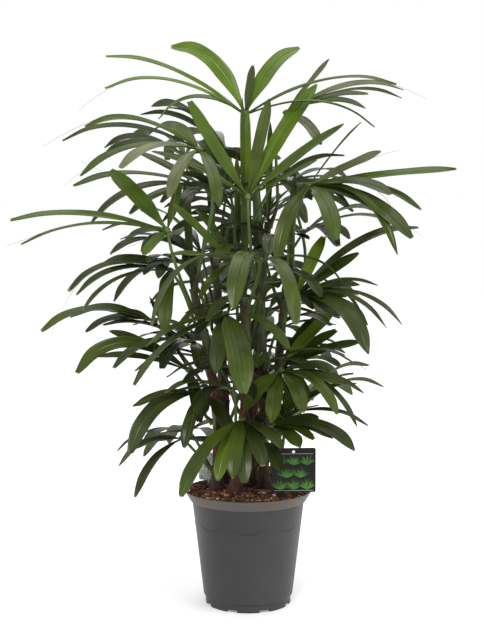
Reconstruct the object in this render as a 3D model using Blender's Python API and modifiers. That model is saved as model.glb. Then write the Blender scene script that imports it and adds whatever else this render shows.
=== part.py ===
"""Lady palm in a plastic nursery pot: a clump of sheathed canes with fan-shaped fronds.

Metres, +Z up. The origin is the centre of the pot's underside, and the viewer's side is -Y.
Every frond grows by the same rule: a stalk leaves its cane, ends in a hub, and the leaflets
fan out from the hub, each bent down by its own weight.
"""

import math
import random
from collections import namedtuple

import bmesh
import bpy
from mathutils import Matrix, Quaternion, Vector
from mathutils.bvhtree import BVHTree

CM = 0.01
GAP = 0.0003
UP = Vector((0, 0, 1))
SEED = 21

# Pot: a 21 cm nursery pot with a flared lip and a foot ring that drains through notches.
POT_HEIGHT = 0.184
RIM_RADIUS = 0.1035
LIP_FOOT_RADIUS = 0.0935
LIP_HEIGHT = 0.017
BODY_TOP_RADIUS = 0.0908
BODY_FOOT_RADIUS = 0.0722
FOOT_RADIUS = 0.0690
FOOT_HEIGHT = 0.014
FOOT_RING = 0.006
PAD_RADIUS = 0.028
FLOOR_Z = 0.005
WALL = 0.0018
POT_STEPS = 48
NOTCH_COUNT = 8
NOTCH_WIDTH = 0.018
NOTCH_HEIGHT = 0.004

# Soil that fills the pot. The canes stand on its level middle.
SOIL_EDGE_Z = 0.1775
SOIL_TOP_Z = 0.1825
SOIL_LEVEL_RADIUS = 0.074

# Plant labels: a card on a stake. Card centre (x, y, z), card width and height, and turn.
LABEL_THICKNESS = 0.0014
STAKE_WIDTH = 0.010
STAKE_FOOT_Z = 0.145
Label = namedtuple("Label", "centre width height stake_shift turn color")
LABELS = {
    "label_front": Label((0.071, -0.060, 0.226), 0.070, 0.070, -0.018, 4, (0.02, 0.03, 0.02)),
    "label_back": Label((-0.062, 0.036, 0.214), 0.040, 0.046, 0, -14, (0.42, 0.48, 0.40)),
}

# Canes: foot (x, y), top (x, y, z) and the sideways bow at mid height, in centimetres.
CANE_BEVEL = 2
CANE_RINGS = 8
CANE_CUT = 0.003
CANE_RADIUS = 0.0075
CANE_TOP_RADIUS = 0.0055
CANE_FLARE = 0.0050
FLARE_HEIGHT = 0.035
Cane = namedtuple("Cane", "foot top bow")
CANES = {
    "front": Cane((-2.1, -2.4), (-0.5, -3.0, 50), (0.8, -0.6)),
    "left": Cane((-5.2, -0.2), (-9.0, 0.0, 51), (1.6, -0.3)),
    "middle": Cane((0.3, 2.4), (-1.5, 4.5, 56), (0.6, 0.2)),
    "tall": Cane((2.6, 0.2), (1.4, 0.4, 61), (0.3, 0.3)),
    "right": Cane((4.6, 3.4), (6.4, 1.5, 53), (-0.6, 0.4)),
    "back_left": Cane((-3.4, 4.6), (-6.0, 8.0, 60), (0.4, 0.2)),
    "back": Cane((0.8, 6.6), (3.4, 9.5, 62), (-0.5, 0.4)),
}

# Stalks and leaflets. Leaflets are in centimetres and degrees, as in the tables below.
STALK_BEVEL = 0
SEAT_STEPS = 4
SEAT_SAMPLES = 6
STALK_POINTS = 6
STALK_RADIUS = 0.0030
STALK_TIP_RADIUS = 0.0022
CROWN_STALK_RADIUS = 0.0065
CROWN_TIP_RADIUS = 0.0035
HUB_RADIUS = 0.0050
LONG_LEAF = 0.15
LONG_RINGS = (0.0, 0.18, 0.38, 0.59, 0.80, 1.0)
SHORT_RINGS = (0.0, 0.22, 0.48, 0.74, 1.0)
LEAF_WIDTH = 2.65
LEAF_THICKNESS = 0.0021
THICKNESS_SHARE = 0.0105
DROOP_SPAN = 0.20
CUP = 14
CUP_STEP = 5
TWIST = 0.92

# Room that a stalk or a leaflet keeps to its neighbours, and what it tries to get it.
CLEARANCE = 0.0006
STALK_TURNS = (0, 20, -20, 40, -40, 65, -65, 90, -90)
STALK_SWAYS = (0.0, 0.012, -0.012, 0.024, -0.024)
LEAF_TRIES = ((0, 1, 0), (3, 1, 0), (-3, 1, 0), (0, 1, 20), (0, 1, -15), (6, 1, 0), (-6, 1, 0),
              (0, 0.85, 0), (5, 0.85, 20), (-5, 0.85, 20), (10, 0.9, 0), (-10, 0.9, 0),
              (0, 0.7, 0), (8, 0.7, 25), (-8, 0.7, 25), (14, 0.75, 0), (-14, 0.75, 0),
              (18, 0.7, 30), (-18, 0.7, 30), (0, 0.55, 0))

# A frond: its cane, the height in centimetres where its stalk leaves it, the hub in
# centimetres, the fan as (heading, lift, tilt) in degrees, and its leaflets as (bearing,
# length, droop) with a width where it isn't the usual one. Heading 0 is +X and 90 is away
# from the viewer, and tilt turns the upper side of the fan towards the viewer.
Frond = namedtuple("Frond", "cane foot_z hub fan leaves")
FRONDS = {
    "crown": Frond("tall", 61, (-0.5, -2, 78.7), (90, 62, 0),
                   ((24, 18, 124, 3.1), (-22, 16.8, 86, 3.0), (-9, 8, 15, 1.4), (51, 25.5, 38, 1.7),
                    (61, 23.5, 62, 1.8), (54, 16, 145, 2.1), (-64, 25, 50, 1.8), (-70, 22, 72, 2))),
    "upper_front": Frond("tall", 50, (-0.1, -6, 65.4), (90, 62, 0),
                         ((36, 17.5, -15), (-25, 23, 5, 3.0), (-12, 16, 15, 2.1), (-48, 19.5, 15),
                          (-66, 12, 10), (55, 17, 35), (71, 17, 8, 2.0))),
    "upper_left": Frond("left", 50, (-7.6, -8, 72.6), (180, 20, 30),
                        ((0, 18.7, 84, 1.6), (0, 21.8, 66, 1.6), (46, 17.5, 72, 2.1),
                         (31, 21, 64, 1.8), (-36, 11.5, 230, 3.6), (75, 13.5, 110, 2.2),
                         (114, 14.5, 120, 2.2))),
    "left_broad": Frond("left", 46, (-12.5, -8, 60.2), (120, 50, 20),
                        ((30, 12.7, 28, 3.6), (66, 24, 32, 2.3), (82, 24, 38, 1.0),
                         (-28, 9, 20, 1.6), (130, 8, 60, 2.0))),
    "left_far": Frond("back_left", 54, (-7.1, 4, 67.5), (180, 12, 25),
                      ((30, 24.5, 38, 2.0), (18, 21.5, 82, 2.3), (-8, 12.5, 25), (40, 16, 70, 2.3),
                       (65, 13, 90), (-60, 14, 50))),
    "left_mid": Frond("left", 43, (-12.6, 0, 54.0), (180, 10, 25),
                      ((-4, 11.5, 130), (10, 16.5, 100, 1.9), (14, 18.3, 102, 1.9),
                       (30, 18, 94, 1.1), (90, 15, 170), (-25, 9, 120))),
    "left_low": Frond("left", 34, (-15.5, 4, 45.5), (180, 12, 20),
                      ((14, 20, 82), (6, 12, 132, 2.9), (3, 14.5, 105), (-15, 8, 100))),
    "left_lower": Frond("left", 29, (-9.7, 0, 37.8), (180, 25, 35),
                        ((-4, 21, 128, 2.9), (14, 15.3, 48, 1.5), (115, 11, 130, 2.4),
                         (-6, 14.3, 42, 2.1), (6, 9, 40, 1.4), (-42, 15, 5, 1.2))),
    "left_upright": Frond("middle", 42, (-2.6, -7, 55.2), (140, 45, 20),
                          ((19, 12.6, 20, 2.3), (-6, 12, 60, 1.8), (66, 12, 60, 1.4),
                           (105, 10, 110, 1.4))),
    "front_left": Frond("front", 38, (-3.6, -10, 47.4), (250, -30, 0),
                        ((-46, 14, 70), (-43, 18.5, 75, 2.8), (33, 19, 100, 4.2),
                         (12, 13, 110), (70, 15, 100))),
    "front": Frond("front", 47, (1.7, -14, 55.5), (270, 5, 0),
                   ((-14, 19.5, 150, 3.2), (20, 18.5, 165), (-62, 23, 138), (-95, 11, 20),
                    (88, 14.5, 150))),
    "right_low": Frond("right", 29, (5, -10, 38.6), (330, 0, 30),
                       ((-95, 11, 110, 2.8), (-72, 11, 140), (-40, 12, 140),
                        (-12, 12.9, 30, 2.2), (10, 8, 110, 1.5), (2, 14.5, 75, 1.0),
                        (-20, 15.5, 108, 2.0), (-8, 17, 113, 1.1))),
    "right_lowest": Frond("right", 23, (3.7, -6, 29.7), (0, 12, 25),
                          ((-24, 15.5, 108, 2.8), (-24, 10.5, 90, 1.6), (-40, 9, 120, 1.8),
                           (-4, 7.5, 60), (-60, 9, 110), (50, 9, 60))),
    "front_low": Frond("front", 24, (-1, -12, 31.5), (262, -30, 0),
                       ((-27, 18.5, 75, 3.0), (-15, 12, 130), (0, 12.5, 140),
                        (10, 12, 140), (50, 10, 105), (30, 10, 130))),
    "left_bottom": Frond("left", 26, (-6.6, -6, 34.6), (180, 20, 25),
                         ((42, 15.5, 58, 1.4), (32, 12.5, 72, 1.5), (43, 19.5, 120, 3.2),
                          (75, 12, 160, 2.2), (85, 7, 150, 2.8), (130, 10, 130))),
    "left_lowest": Frond("left", 21.5, (-10.6, -2, 27), (180, 0, 20),
                         ((24, 8.6, 112, 2.0), (55, 14.5, 112, 1.7), (150, 6.5, 80, 2.0))),
    "upper_right": Frond("back", 61, (6.3, 6, 80), (10, 25, 30),
                         ((20, 12, 10, 1.3), (1, 21, 62, 1.9), (-26, 20.5, 60, 0.9),
                          (-12, 14, 60, 2.0), (-35, 15, 78, 1.8), (-78, 12, 75, 2.2))),
    "right_high": Frond("right", 52, (9.4, -6, 67.2), (350, 12, 35),
                        ((-66, 15.5, 115, 3.0), (-40, 22.5, 47, 3.2), (-3, 12.5, 14, 2.8),
                         (-20, 24, 8, 2.4), (-30, 16.5, 55), (-18, 19.5, 62, 1.5),
                         (47, 14, 30, 0.8), (-120, 15, 150), (-38, 23.5, 92, 1.4))),
    "right_mid": Frond("right", 41, (7.4, -6, 50.0), (350, 20, 30),
                       ((25, 23, 60, 2.1), (20, 12, 20), (52, 11.5, 10), (-7, 10.5, 75, 2.3),
                        (-16, 15, 72, 1.0), (-42, 10.5, 100, 3.0), (-43, 21, 98, 3.1),
                        (-18, 19.5, 88, 0.9), (-36, 21, 70, 0.9), (-22, 9, 90, 2.0))),
    "right_lower": Frond("right", 32, (5.4, -2, 38.9), (20, 22, 25),
                         ((-30, 13.2, 30, 3.0), (5, 11, 20), (14, 12.5, 22, 2.8), (32, 12, 20),
                          (-52, 9, 105, 1.8), (-90, 10, 125))),
}


INNER_FRONDS = {
    "inner_upper": Frond("middle", 54, (-2.5, 1, 64), (255, 35, 0), ()),
    "inner_left": Frond("back_left", 45, (-9.5, 3, 57), (200, 20, 10), ()),
    "inner_right": Frond("back", 50, (9, 3, 60), (335, 20, 10), ()),
    "inner_middle": Frond("middle", 40, (2, -2, 49), (290, 15, 0), ()),
    "inner_low_left": Frond("back_left", 32, (-9, 3, 42), (205, 10, 10), ()),
    "inner_low": Frond("middle", 27, (-1, -2, 38), (260, 10, 0), ()),
}

# The side that faces away carries as much: this many fronds climb it in turn round the clump,
# each a step further round than the one below it. Heights and reaches are in centimetres.
BACK_COUNT = 15
BACK_CANES = ("back", "back_left", "right", "middle", "back_left", "back", "left")
BACK_LOW, BACK_HIGH = 29, 76
BACK_START, BACK_ARC, BACK_STEP = 50, 80, 97
BACK_RISE = 12
BACK_FOOT_LOW = 21
BACK_BELOW_TOP = 2
BACK_REACH = (7.5, 10.5)
BACK_LIFT = (8, 30)
BACK_TILT = -25

# Fronds whose leaflets follow a rule: how many, over what angle, and their sizes.
Rule = namedtuple("Rule", "count spread long short")
INNER_RULE = Rule(6, 140, 17, 12)
BACK_RULE = Rule(7, 120, 20, 14)
RULE_DROOP = (65, 105)
OUTER_DROOP = 25


def unit(azimuth, elevation):
    """The direction at these angles, in degrees."""
    a, e = math.radians(azimuth), math.radians(elevation)
    return Vector((math.cos(a) * math.cos(e), math.sin(a) * math.cos(e), math.sin(e)))


def smooth(t):
    t = max(0.0, min(1.0, t))
    return t * t * (3 - 2 * t)


def cane_point(cane, z):
    """The middle of a cane at a height."""
    foot = Vector((cane.foot[0], cane.foot[1], 0)) * CM
    top = Vector(cane.top) * CM
    t = (z - SOIL_TOP_Z) / (top.z - SOIL_TOP_Z)
    bow = Vector((cane.bow[0], cane.bow[1], 0)) * CM * 4 * t * (1 - t)
    return Vector((foot.x + (top.x - foot.x) * t + bow.x, foot.y + (top.y - foot.y) * t + bow.y, z))


def cane_radius(cane, z):
    t = (z - SOIL_TOP_Z) / (cane.top[2] * CM - SOIL_TOP_Z)
    flare = CANE_FLARE * (1 - smooth((z - SOIL_TOP_Z) / FLARE_HEIGHT))
    return CANE_RADIUS + (CANE_TOP_RADIUS - CANE_RADIUS) * t + flare


def leaf_width(t):
    """Share of the full width along a leaflet: a narrow root, even sides and a blunt tip."""
    return (0.15 + 0.85 * smooth(t / 0.5)) * (1 - 0.45 * smooth((t - 0.76) / 0.24))


def fan_axes(heading, lift, tilt):
    """The middle direction of a fan, the normal of its upper side and the way that it faces."""
    forward = unit(heading, lift)
    facing = unit(-90, 90 - tilt)
    normal = (facing - forward * facing.dot(forward)).normalized()
    return forward, normal, facing


def leaf_path(hub, axes, bearing, length, droop, cup, stations):
    """Points, side vectors and upper normals along a leaflet that its weight bends down."""
    forward, normal, facing = axes
    b, c = math.radians(bearing), math.radians(cup)
    out = forward * math.cos(b) + normal.cross(forward) * math.sin(b)
    heading = (out * math.cos(c) + normal * math.sin(c)).normalized()
    upper = (normal * math.cos(c) - out * math.sin(c)).normalized()
    level = 1 - heading.z ** 2
    skyward = (facing - heading * heading.dot(facing)).normalized()
    upper = upper.lerp(skyward, level * TWIST)
    upper = (upper - heading * upper.dot(heading)).normalized()
    point = hub.copy()
    frames, done = [], 0.0
    substeps = 6
    for station in stations:
        span = (station - done) * length
        for _ in range(substeps):
            ds = span / substeps
            turn = math.radians(droop) * ds / DROOP_SPAN * math.hypot(heading.x, heading.y)
            turn *= 0.4 + 1.2 * done
            axis = heading.cross(-UP)
            if axis.length > 1e-6:
                bend = Quaternion(axis.normalized(), turn)
                heading.rotate(bend)
                upper.rotate(bend)
            point = point + heading * ds
        done = station
        frames.append((point.copy(), heading.cross(upper).normalized(), upper.copy()))
    return frames


def leaf_sections(frames, stations, width, thickness, grow=0.0):
    """Three corners at each station: the two edges and the keel under the rib."""
    sections = []
    for (point, side, upper), t in zip(frames, stations):
        half = width * leaf_width(t) / 2 + grow
        top = point + upper * grow
        keel = point - upper * (thickness * (1 - 0.35 * t) + grow)
        sections.append((top - side * half, top + side * half, keel))
    return sections


def tube_sections(points, radii, grow=0.0, sides=6):
    """Rings round a line of points."""
    sections = []
    side = (points[1] - points[0]).orthogonal()
    for i, point in enumerate(points):
        along = (points[min(i + 1, len(points) - 1)] - points[max(i - 1, 0)]).normalized()
        side = (side - along * side.dot(along)).normalized()
        across = along.cross(side)
        reach = radii[i] + grow
        ring = [2 * math.pi * k / sides for k in range(sides)]
        sections.append([point + (side * math.cos(a) + across * math.sin(a)) * reach for a in ring])
    return sections


def loft(bm, sections):
    """A closed skin over rings of equal count."""
    rings = [[bm.verts.new(p) for p in ring] for ring in sections]
    count = len(rings[0])
    for near, far in zip(rings, rings[1:]):
        for k in range(count):
            j = (k + 1) % count
            bm.faces.new((near[k], near[j], far[j], far[k]))
    bm.faces.new(rings[0])
    bm.faces.new(rings[-1])


def skin_tree(sections):
    """A search tree of a lofted skin, for finding what it would touch."""
    bm = bmesh.new()
    loft(bm, sections)
    bmesh.ops.triangulate(bm, faces=bm.faces[:])
    tree = BVHTree.FromBMesh(bm)
    bm.free()
    return tree


def stalk_line(cane, frond, turn, sway):
    """A stalk's points from its cane to its hub, and its radius at each of them."""
    hub = Vector(frond.hub) * CM
    forward = unit(*frond.fan[:2])
    top = cane.top[2] * CM
    from_top = frond.foot_z * CM >= top
    if from_top:
        radius, tip_radius = CROWN_STALK_RADIUS, CROWN_TIP_RADIUS
        start = cane_point(cane, top) + UP * GAP
        leave = unit(turn, 88)
    else:
        radius, tip_radius = STALK_RADIUS, STALK_TIP_RADIUS
        middle = cane_point(cane, frond.foot_z * CM)
        away = Vector((hub.x - middle.x, hub.y - middle.y, 0)).normalized()
        away.rotate(Quaternion(UP, math.radians(turn)))
        start = middle + away * (cane_radius(cane, middle.z) + GAP + 1.05 * radius)
        leave = (UP + away * 0.75).normalized()
    reach = (hub - start).length * 0.36
    aside = (hub - start).cross(UP).normalized() * sway
    first = start + leave * reach + aside
    second = hub - (forward + UP).normalized() * reach + aside
    points, radii = [], []
    for i in range(STALK_POINTS):
        t = i / (STALK_POINTS - 1)
        s = 1 - t
        points.append(start * s ** 3 + first * 3 * s * s * t + second * 3 * s * t * t + hub * t ** 3)
        radii.append(radius + (tip_radius - radius) * t)
    if from_top:
        points.insert(1, start + UP * CANE_CUT)
        radii.insert(1, radius)
    return points, radii


def ruled_leaves(rng, rule):
    """Leaflets dealt out evenly over a fan, the outer ones shorter and more bent."""
    leaves = []
    for i in range(rule.count):
        bearing = rule.spread * (i / (rule.count - 1) - 0.5) + rng.uniform(-5, 5)
        outer = abs(bearing) / (rule.spread / 2)
        length = rule.long + (rule.short - rule.long) * outer ** 2 + rng.uniform(-1.5, 1.5)
        leaves.append((bearing, length, rng.uniform(*RULE_DROOP) + OUTER_DROOP * outer))
    return tuple(leaves)


def back_frond(rng, i):
    """One of the fronds that climb the far side, counted from the lowest."""
    cane_name = BACK_CANES[i % len(BACK_CANES)]
    cane = CANES[cane_name]
    heading = BACK_START + (i * BACK_STEP) % BACK_ARC + rng.uniform(-6, 6)
    hub_z = BACK_LOW + (BACK_HIGH - BACK_LOW) * i / (BACK_COUNT - 1) + rng.uniform(-1.5, 1.5)
    foot_z = min(hub_z - BACK_RISE, cane.top[2] - BACK_BELOW_TOP - i % 3)
    foot_z = max(foot_z, BACK_FOOT_LOW)
    foot = cane_point(cane, foot_z * CM) / CM
    out = unit(heading, 0) * rng.uniform(*BACK_REACH)
    fan = (heading, rng.uniform(*BACK_LIFT), BACK_TILT)
    hub = (foot.x + out.x, foot.y + out.y, hub_z)
    return Frond(cane_name, foot_z, hub, fan, ruled_leaves(rng, BACK_RULE))


def all_fronds():
    """The fronds of the table, then those inside the clump, then those behind it."""
    rng = random.Random(SEED)
    fronds = dict(FRONDS)
    for name, frond in INNER_FRONDS.items():
        fronds[name] = frond._replace(leaves=ruled_leaves(rng, INNER_RULE))
    for i in range(BACK_COUNT):
        fronds[f"back_{i + 1}"] = back_frond(rng, i)
    return fronds


class Growth:
    """What has grown so far, so that nothing new touches it."""

    def __init__(self):
        self.trees = []

    def add(self, owner, sections):
        self.trees.append((owner, skin_tree(sections)))

    def free(self, owner, sections):
        tree = skin_tree(sections)
        return not any(other != owner and grown.overlap(tree) for other, grown in self.trees)


def grow_stalk(growth, name, frond):
    """The first of the tries that touches nothing."""
    cane = CANES[frond.cane]
    for sway in STALK_SWAYS:
        for turn in STALK_TURNS:
            points, radii = stalk_line(cane, frond, turn, sway)
            if growth.free(name, tube_sections(points, radii, grow=CLEARANCE)):
                growth.add(name, tube_sections(points, radii))
                return points, radii
    return None


def grow_leaf(growth, name, hub, axes, leaf, cup):
    bearing, length, droop = leaf[:3]
    width = (leaf[3] if len(leaf) > 3 else LEAF_WIDTH) * CM
    for turn, share, sag in LEAF_TRIES:
        span = length * share * CM
        stations = LONG_RINGS if span >= LONG_LEAF else SHORT_RINGS
        thickness = max(LEAF_THICKNESS, span * THICKNESS_SHARE)
        frames = leaf_path(hub, axes, bearing + turn, span, droop + sag, cup, stations)
        if growth.free(name, leaf_sections(frames, stations, width, thickness, grow=CLEARANCE)):
            sections = leaf_sections(frames, stations, width, thickness)
            growth.add(name, sections)
            return sections
    return None


def cane_line(cane):
    """A cane's points and radii from a level cut on the soil to its top."""
    foot_z, top_z = SOIL_TOP_Z + GAP, cane.top[2] * CM
    foot = cane_point(cane, foot_z)
    points, radii = [foot], [cane_radius(cane, foot_z)]
    for i in range(CANE_RINGS):
        z = foot_z + CANE_CUT + (top_z - foot_z - CANE_CUT) * (i / (CANE_RINGS - 1)) ** 1.4
        point = cane_point(cane, z)
        if i == 0:
            point.xy = foot.xy
        points.append(point)
        radii.append(cane_radius(cane, z))
    return points, radii


def grow():
    """Everything that grows: the canes first, then all the stalks, then the leaflets."""
    growth = Growth()
    canes = {name: cane_line(cane) for name, cane in CANES.items()}
    for name, (points, radii) in canes.items():
        growth.add(name, tube_sections(points, radii, sides=12))
    for name, label in LABELS.items():
        growth.add(name, card_corners(label))
    fronds = all_fronds()
    stalks = {name: grow_stalk(growth, name, frond) for name, frond in fronds.items()}
    grown = {}
    for name, frond in fronds.items():
        if stalks[name] is None:
            continue
        hub, axes = Vector(frond.hub) * CM, fan_axes(*frond.fan)
        leaves = []
        for i, leaf in enumerate(frond.leaves):
            cup = CUP + CUP_STEP * (-1) ** i
            leaves.append(grow_leaf(growth, name, hub, axes, leaf, cup))
        grown[name] = (hub, stalks[name], [leaf for leaf in leaves if leaf])
    return canes, grown


def card_corners(label):
    """The two faces of a label's card, as rings."""
    across = unit(label.turn, 0) * label.width / 2
    through = unit(label.turn + 90, 0) * LABEL_THICKNESS / 2
    rise = UP * label.height / 2
    centre = Vector(label.centre)
    face = [centre - across - rise, centre + across - rise, centre + across + rise, centre - across + rise]
    return [[p - through for p in face], [p + through for p in face]]


def material(name, color, roughness):
    found = bpy.data.materials.get(name)
    if found:
        return found
    made = bpy.data.materials.new(name)
    made.use_nodes = True
    shader = made.node_tree.nodes["Principled BSDF"]
    shader.inputs["Base Color"].default_value = (*color, 1)
    shader.inputs["Roughness"].default_value = roughness
    shader.inputs["Metallic"].default_value = 0
    return made


def add_object(name, data, look, collection, root=None, at=(0, 0, 0)):
    obj = bpy.data.objects.new(name, data)
    obj.location = at
    obj.parent = root
    if look:
        data.materials.append(look)
    collection.objects.link(obj)
    return obj


def mesh_from(bm, name):
    bmesh.ops.recalc_face_normals(bm, faces=bm.faces[:])
    mesh = bpy.data.meshes.new(name)
    bm.to_mesh(mesh)
    bm.free()
    return mesh


def turned(name, profile, look, collection, root):
    """A profile of (radius, height) spun round the pot's axis."""
    bm = bmesh.new()
    verts = [bm.verts.new((r, 0, z)) for r, z in profile]
    for a, b in zip(verts, verts[1:]):
        bm.edges.new((a, b))
    mesh = bpy.data.meshes.new(name)
    bm.to_mesh(mesh)
    bm.free()
    obj = add_object(name, mesh, look, collection, root)
    spin = obj.modifiers.new("Spin", "SCREW")
    spin.axis = "Z"
    spin.steps = POT_STEPS
    spin.render_steps = POT_STEPS
    spin.use_merge_vertices = True
    spin.merge_threshold = 0.00001
    return obj


def box_cutter(name, boxes, collection):
    """One cutter of turned boxes, each given as (centre, size, turn in degrees)."""
    bm = bmesh.new()
    for centre, size, turn in boxes:
        place = Matrix.Translation(centre) @ Matrix.Rotation(math.radians(turn), 4, "Z")
        bmesh.ops.create_cube(bm, size=1, matrix=place @ Matrix.Diagonal((*size, 1)))
    cutter = add_object(name, mesh_from(bm, name), None, collection)
    cutter.hide_render = True
    cutter.display_type = "WIRE"
    return cutter


def cut(obj, cutter):
    boolean = obj.modifiers.new("Cut", "BOOLEAN")
    boolean.operation = "DIFFERENCE"
    boolean.solver = "EXACT"
    boolean.object = cutter


def wall_profile(inset, z_floor):
    """The pot's wall from floor to rim, moved in by a wall or by a wall and a gap."""
    return [(FOOT_RADIUS - inset, z_floor), (BODY_FOOT_RADIUS - inset, FOOT_HEIGHT),
            (BODY_TOP_RADIUS - inset, POT_HEIGHT - LIP_HEIGHT),
            (RIM_RADIUS - inset, POT_HEIGHT)]


def make_pot(collection, cutters, root):
    inner = [(0, FLOOR_Z + WALL)] + wall_profile(WALL, FLOOR_Z + WALL)
    outer = [(RIM_RADIUS, POT_HEIGHT), (LIP_FOOT_RADIUS, POT_HEIGHT - LIP_HEIGHT),
             (BODY_TOP_RADIUS, POT_HEIGHT - LIP_HEIGHT), (BODY_FOOT_RADIUS, FOOT_HEIGHT),
             (FOOT_RADIUS, FOOT_HEIGHT), (FOOT_RADIUS, 0)]
    underside = [(FOOT_RADIUS - FOOT_RING, 0), (FOOT_RADIUS - FOOT_RING, FLOOR_Z),
                 (PAD_RADIUS, FLOOR_Z), (PAD_RADIUS, 0), (0, 0)]
    look = material("pot_plastic", (0.065, 0.062, 0.058), 0.45)
    pot = turned("pot", inner + outer + underside, look, collection, root)
    notches = []
    for i in range(NOTCH_COUNT):
        turn = 360 * (i + 0.5) / NOTCH_COUNT
        middle = unit(turn, 0) * (FOOT_RADIUS - FOOT_RING / 2)
        notches.append((middle, (3 * FOOT_RING, NOTCH_WIDTH, 2 * NOTCH_HEIGHT), turn))
    cut(pot, box_cutter("notch_cutter", notches, cutters))


def stake_centre(label):
    return Vector(label.centre) + unit(label.turn, 0) * label.stake_shift


def make_soil(collection, cutters, root):
    bottom = FLOOR_Z + WALL + GAP
    inset = WALL + GAP
    wall = wall_profile(inset, bottom)
    (low_r, low_z), (high_r, high_z) = wall[-2:]
    edge_r = low_r + (high_r - low_r) * (SOIL_EDGE_Z - low_z) / (high_z - low_z)
    profile = [(0, SOIL_TOP_Z), (SOIL_LEVEL_RADIUS, SOIL_TOP_Z), (edge_r, SOIL_EDGE_Z)]
    profile += wall[-2::-1] + [(0, bottom)]
    look = material("bark_mulch", (0.14, 0.062, 0.035), 0.95)
    soil = turned("soil", profile, look, collection, root)
    pockets = []
    for label in LABELS.values():
        centre = stake_centre(label)
        top, foot = POT_HEIGHT, STAKE_FOOT_Z - GAP
        centre.z = (top + foot) / 2
        size = (STAKE_WIDTH + 2 * GAP, LABEL_THICKNESS + 2 * GAP, top - foot)
        pockets.append((centre, size, label.turn))
    cut(soil, box_cutter("pocket_cutter", pockets, cutters))


def make_label(name, label, collection, root):
    """A card with its stake, as one outline pushed out to the card's thickness."""
    half = label.width / 2
    low, high = -label.height / 2, label.height / 2
    foot = STAKE_FOOT_Z - label.centre[2]
    left = label.stake_shift - STAKE_WIDTH / 2
    right = label.stake_shift + STAKE_WIDTH / 2
    outline = [(-half, low), (left, low), (left, foot), (right, foot), (right, low),
               (half, low), (half, high), (-half, high)]
    bm = bmesh.new()
    face = bm.faces.new([bm.verts.new((x, -LABEL_THICKNESS / 2, z)) for x, z in outline])
    pushed = bmesh.ops.extrude_face_region(bm, geom=[face])
    moved = [v for v in pushed["geom"] if isinstance(v, bmesh.types.BMVert)]
    bmesh.ops.translate(bm, verts=moved, vec=(0, LABEL_THICKNESS, 0))
    look = material(name + "_card", label.color, 0.35)
    obj = add_object(name, mesh_from(bm, name), look, collection, root, label.centre)
    obj.rotation_euler.z = math.radians(label.turn)


def tube_curve(name, points, radii, sides_step):
    """A curve with a round bevel through these points, thick as the radii say."""
    curve = bpy.data.curves.new(name, "CURVE")
    curve.dimensions = "3D"
    curve.bevel_depth = radii[0]
    curve.bevel_resolution = sides_step
    curve.use_fill_caps = True
    spline = curve.splines.new("POLY")
    spline.points.add(len(points) - 1)
    for spot, point, radius in zip(spline.points, points, radii):
        spot.co = (*point, 1)
        spot.radius = radius / radii[0]
    return curve


def make_cane(name, points, radii, collection, root):
    foot = points[0]
    local = [point - foot for point in points]
    look = material("cane_sheath", (0.12, 0.075, 0.040), 0.85)
    add_object("cane_" + name, tube_curve("cane_" + name, local, radii, CANE_BEVEL), look,
               collection, root, foot)


def tube_mesh(name, points, radii, bevel):
    """The same tube as a closed mesh, which a Boolean and a search tree can take."""
    guide = add_object(name, tube_curve(name, points, radii, bevel), None,
                       bpy.context.scene.collection)
    bpy.context.view_layer.update()
    mesh = bpy.data.meshes.new_from_object(guide.evaluated_get(bpy.context.evaluated_depsgraph_get()))
    bpy.data.objects.remove(guide)
    bm = bmesh.new()
    bm.from_mesh(mesh)
    bpy.data.meshes.remove(mesh)
    bmesh.ops.remove_doubles(bm, verts=bm.verts[:], dist=0.00001)
    return mesh_from(bm, name)


def tree_of(mesh):
    bm = bmesh.new()
    bm.from_mesh(mesh)
    tree = BVHTree.FromBMesh(bm)
    bm.free()
    return tree


def seated(points, radii, cane_tree):
    """The stalk's points with its foot moved up to its cane, to within the gap."""
    points = list(points)
    for _ in range(SEAT_STEPS):
        mesh = tube_mesh("probe", points, radii, STALK_BEVEL)
        corners = [v.co for v in mesh.vertices if (v.co - points[0]).length < 1.5 * radii[0]]
        shares = [k / SEAT_SAMPLES for k in range(SEAT_SAMPLES)]
        cap = [a.lerp(b, share) for a in corners for b in corners for share in shares]
        nearest = min((cane_tree.find_nearest(p) for p in cap), key=lambda found: found[3])
        bpy.data.meshes.remove(mesh)
        towards = nearest[0] - points[0]
        towards.z = 0
        points[0] = points[0] + towards.normalized() * (nearest[3] - GAP)
    return points


def make_frond(name, hub, stalk, leaves, cane_tree, collection, root):
    """Stalk, hub and leaflets joined by one union."""
    points, radii = stalk
    look = material("leaf", (0.065, 0.10, 0.02), 0.4)
    if radii[0] < CROWN_STALK_RADIUS:
        points = seated(points, radii, cane_tree)
    local = [point - hub for point in points]
    frond = add_object(name, tube_mesh(name, local, radii, STALK_BEVEL), look, collection, root, hub)
    pieces = bpy.data.collections.new(name + "_pieces")
    bpy.context.scene.collection.children.link(pieces)
    bm = bmesh.new()
    bmesh.ops.create_icosphere(bm, subdivisions=1, radius=HUB_RADIUS)
    add_object(name + "_hub", mesh_from(bm, name + "_hub"), look, pieces, None, hub)
    for i, sections in enumerate(leaves):
        bm = bmesh.new()
        loft(bm, [[p - hub for p in ring] for ring in sections])
        add_object(f"{name}_leaf_{i + 1}", mesh_from(bm, f"{name}_leaf_{i + 1}"), look, pieces, None, hub)
    union = frond.modifiers.new("Union", "BOOLEAN")
    union.operation = "UNION"
    union.operand_type = "COLLECTION"
    union.collection = pieces
    union.solver = "EXACT"
    bpy.context.view_layer.objects.active = frond
    bpy.ops.object.modifier_apply(modifier=union.name)
    for piece in list(pieces.objects):
        bpy.data.objects.remove(piece)
    bpy.data.collections.remove(pieces)


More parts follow.
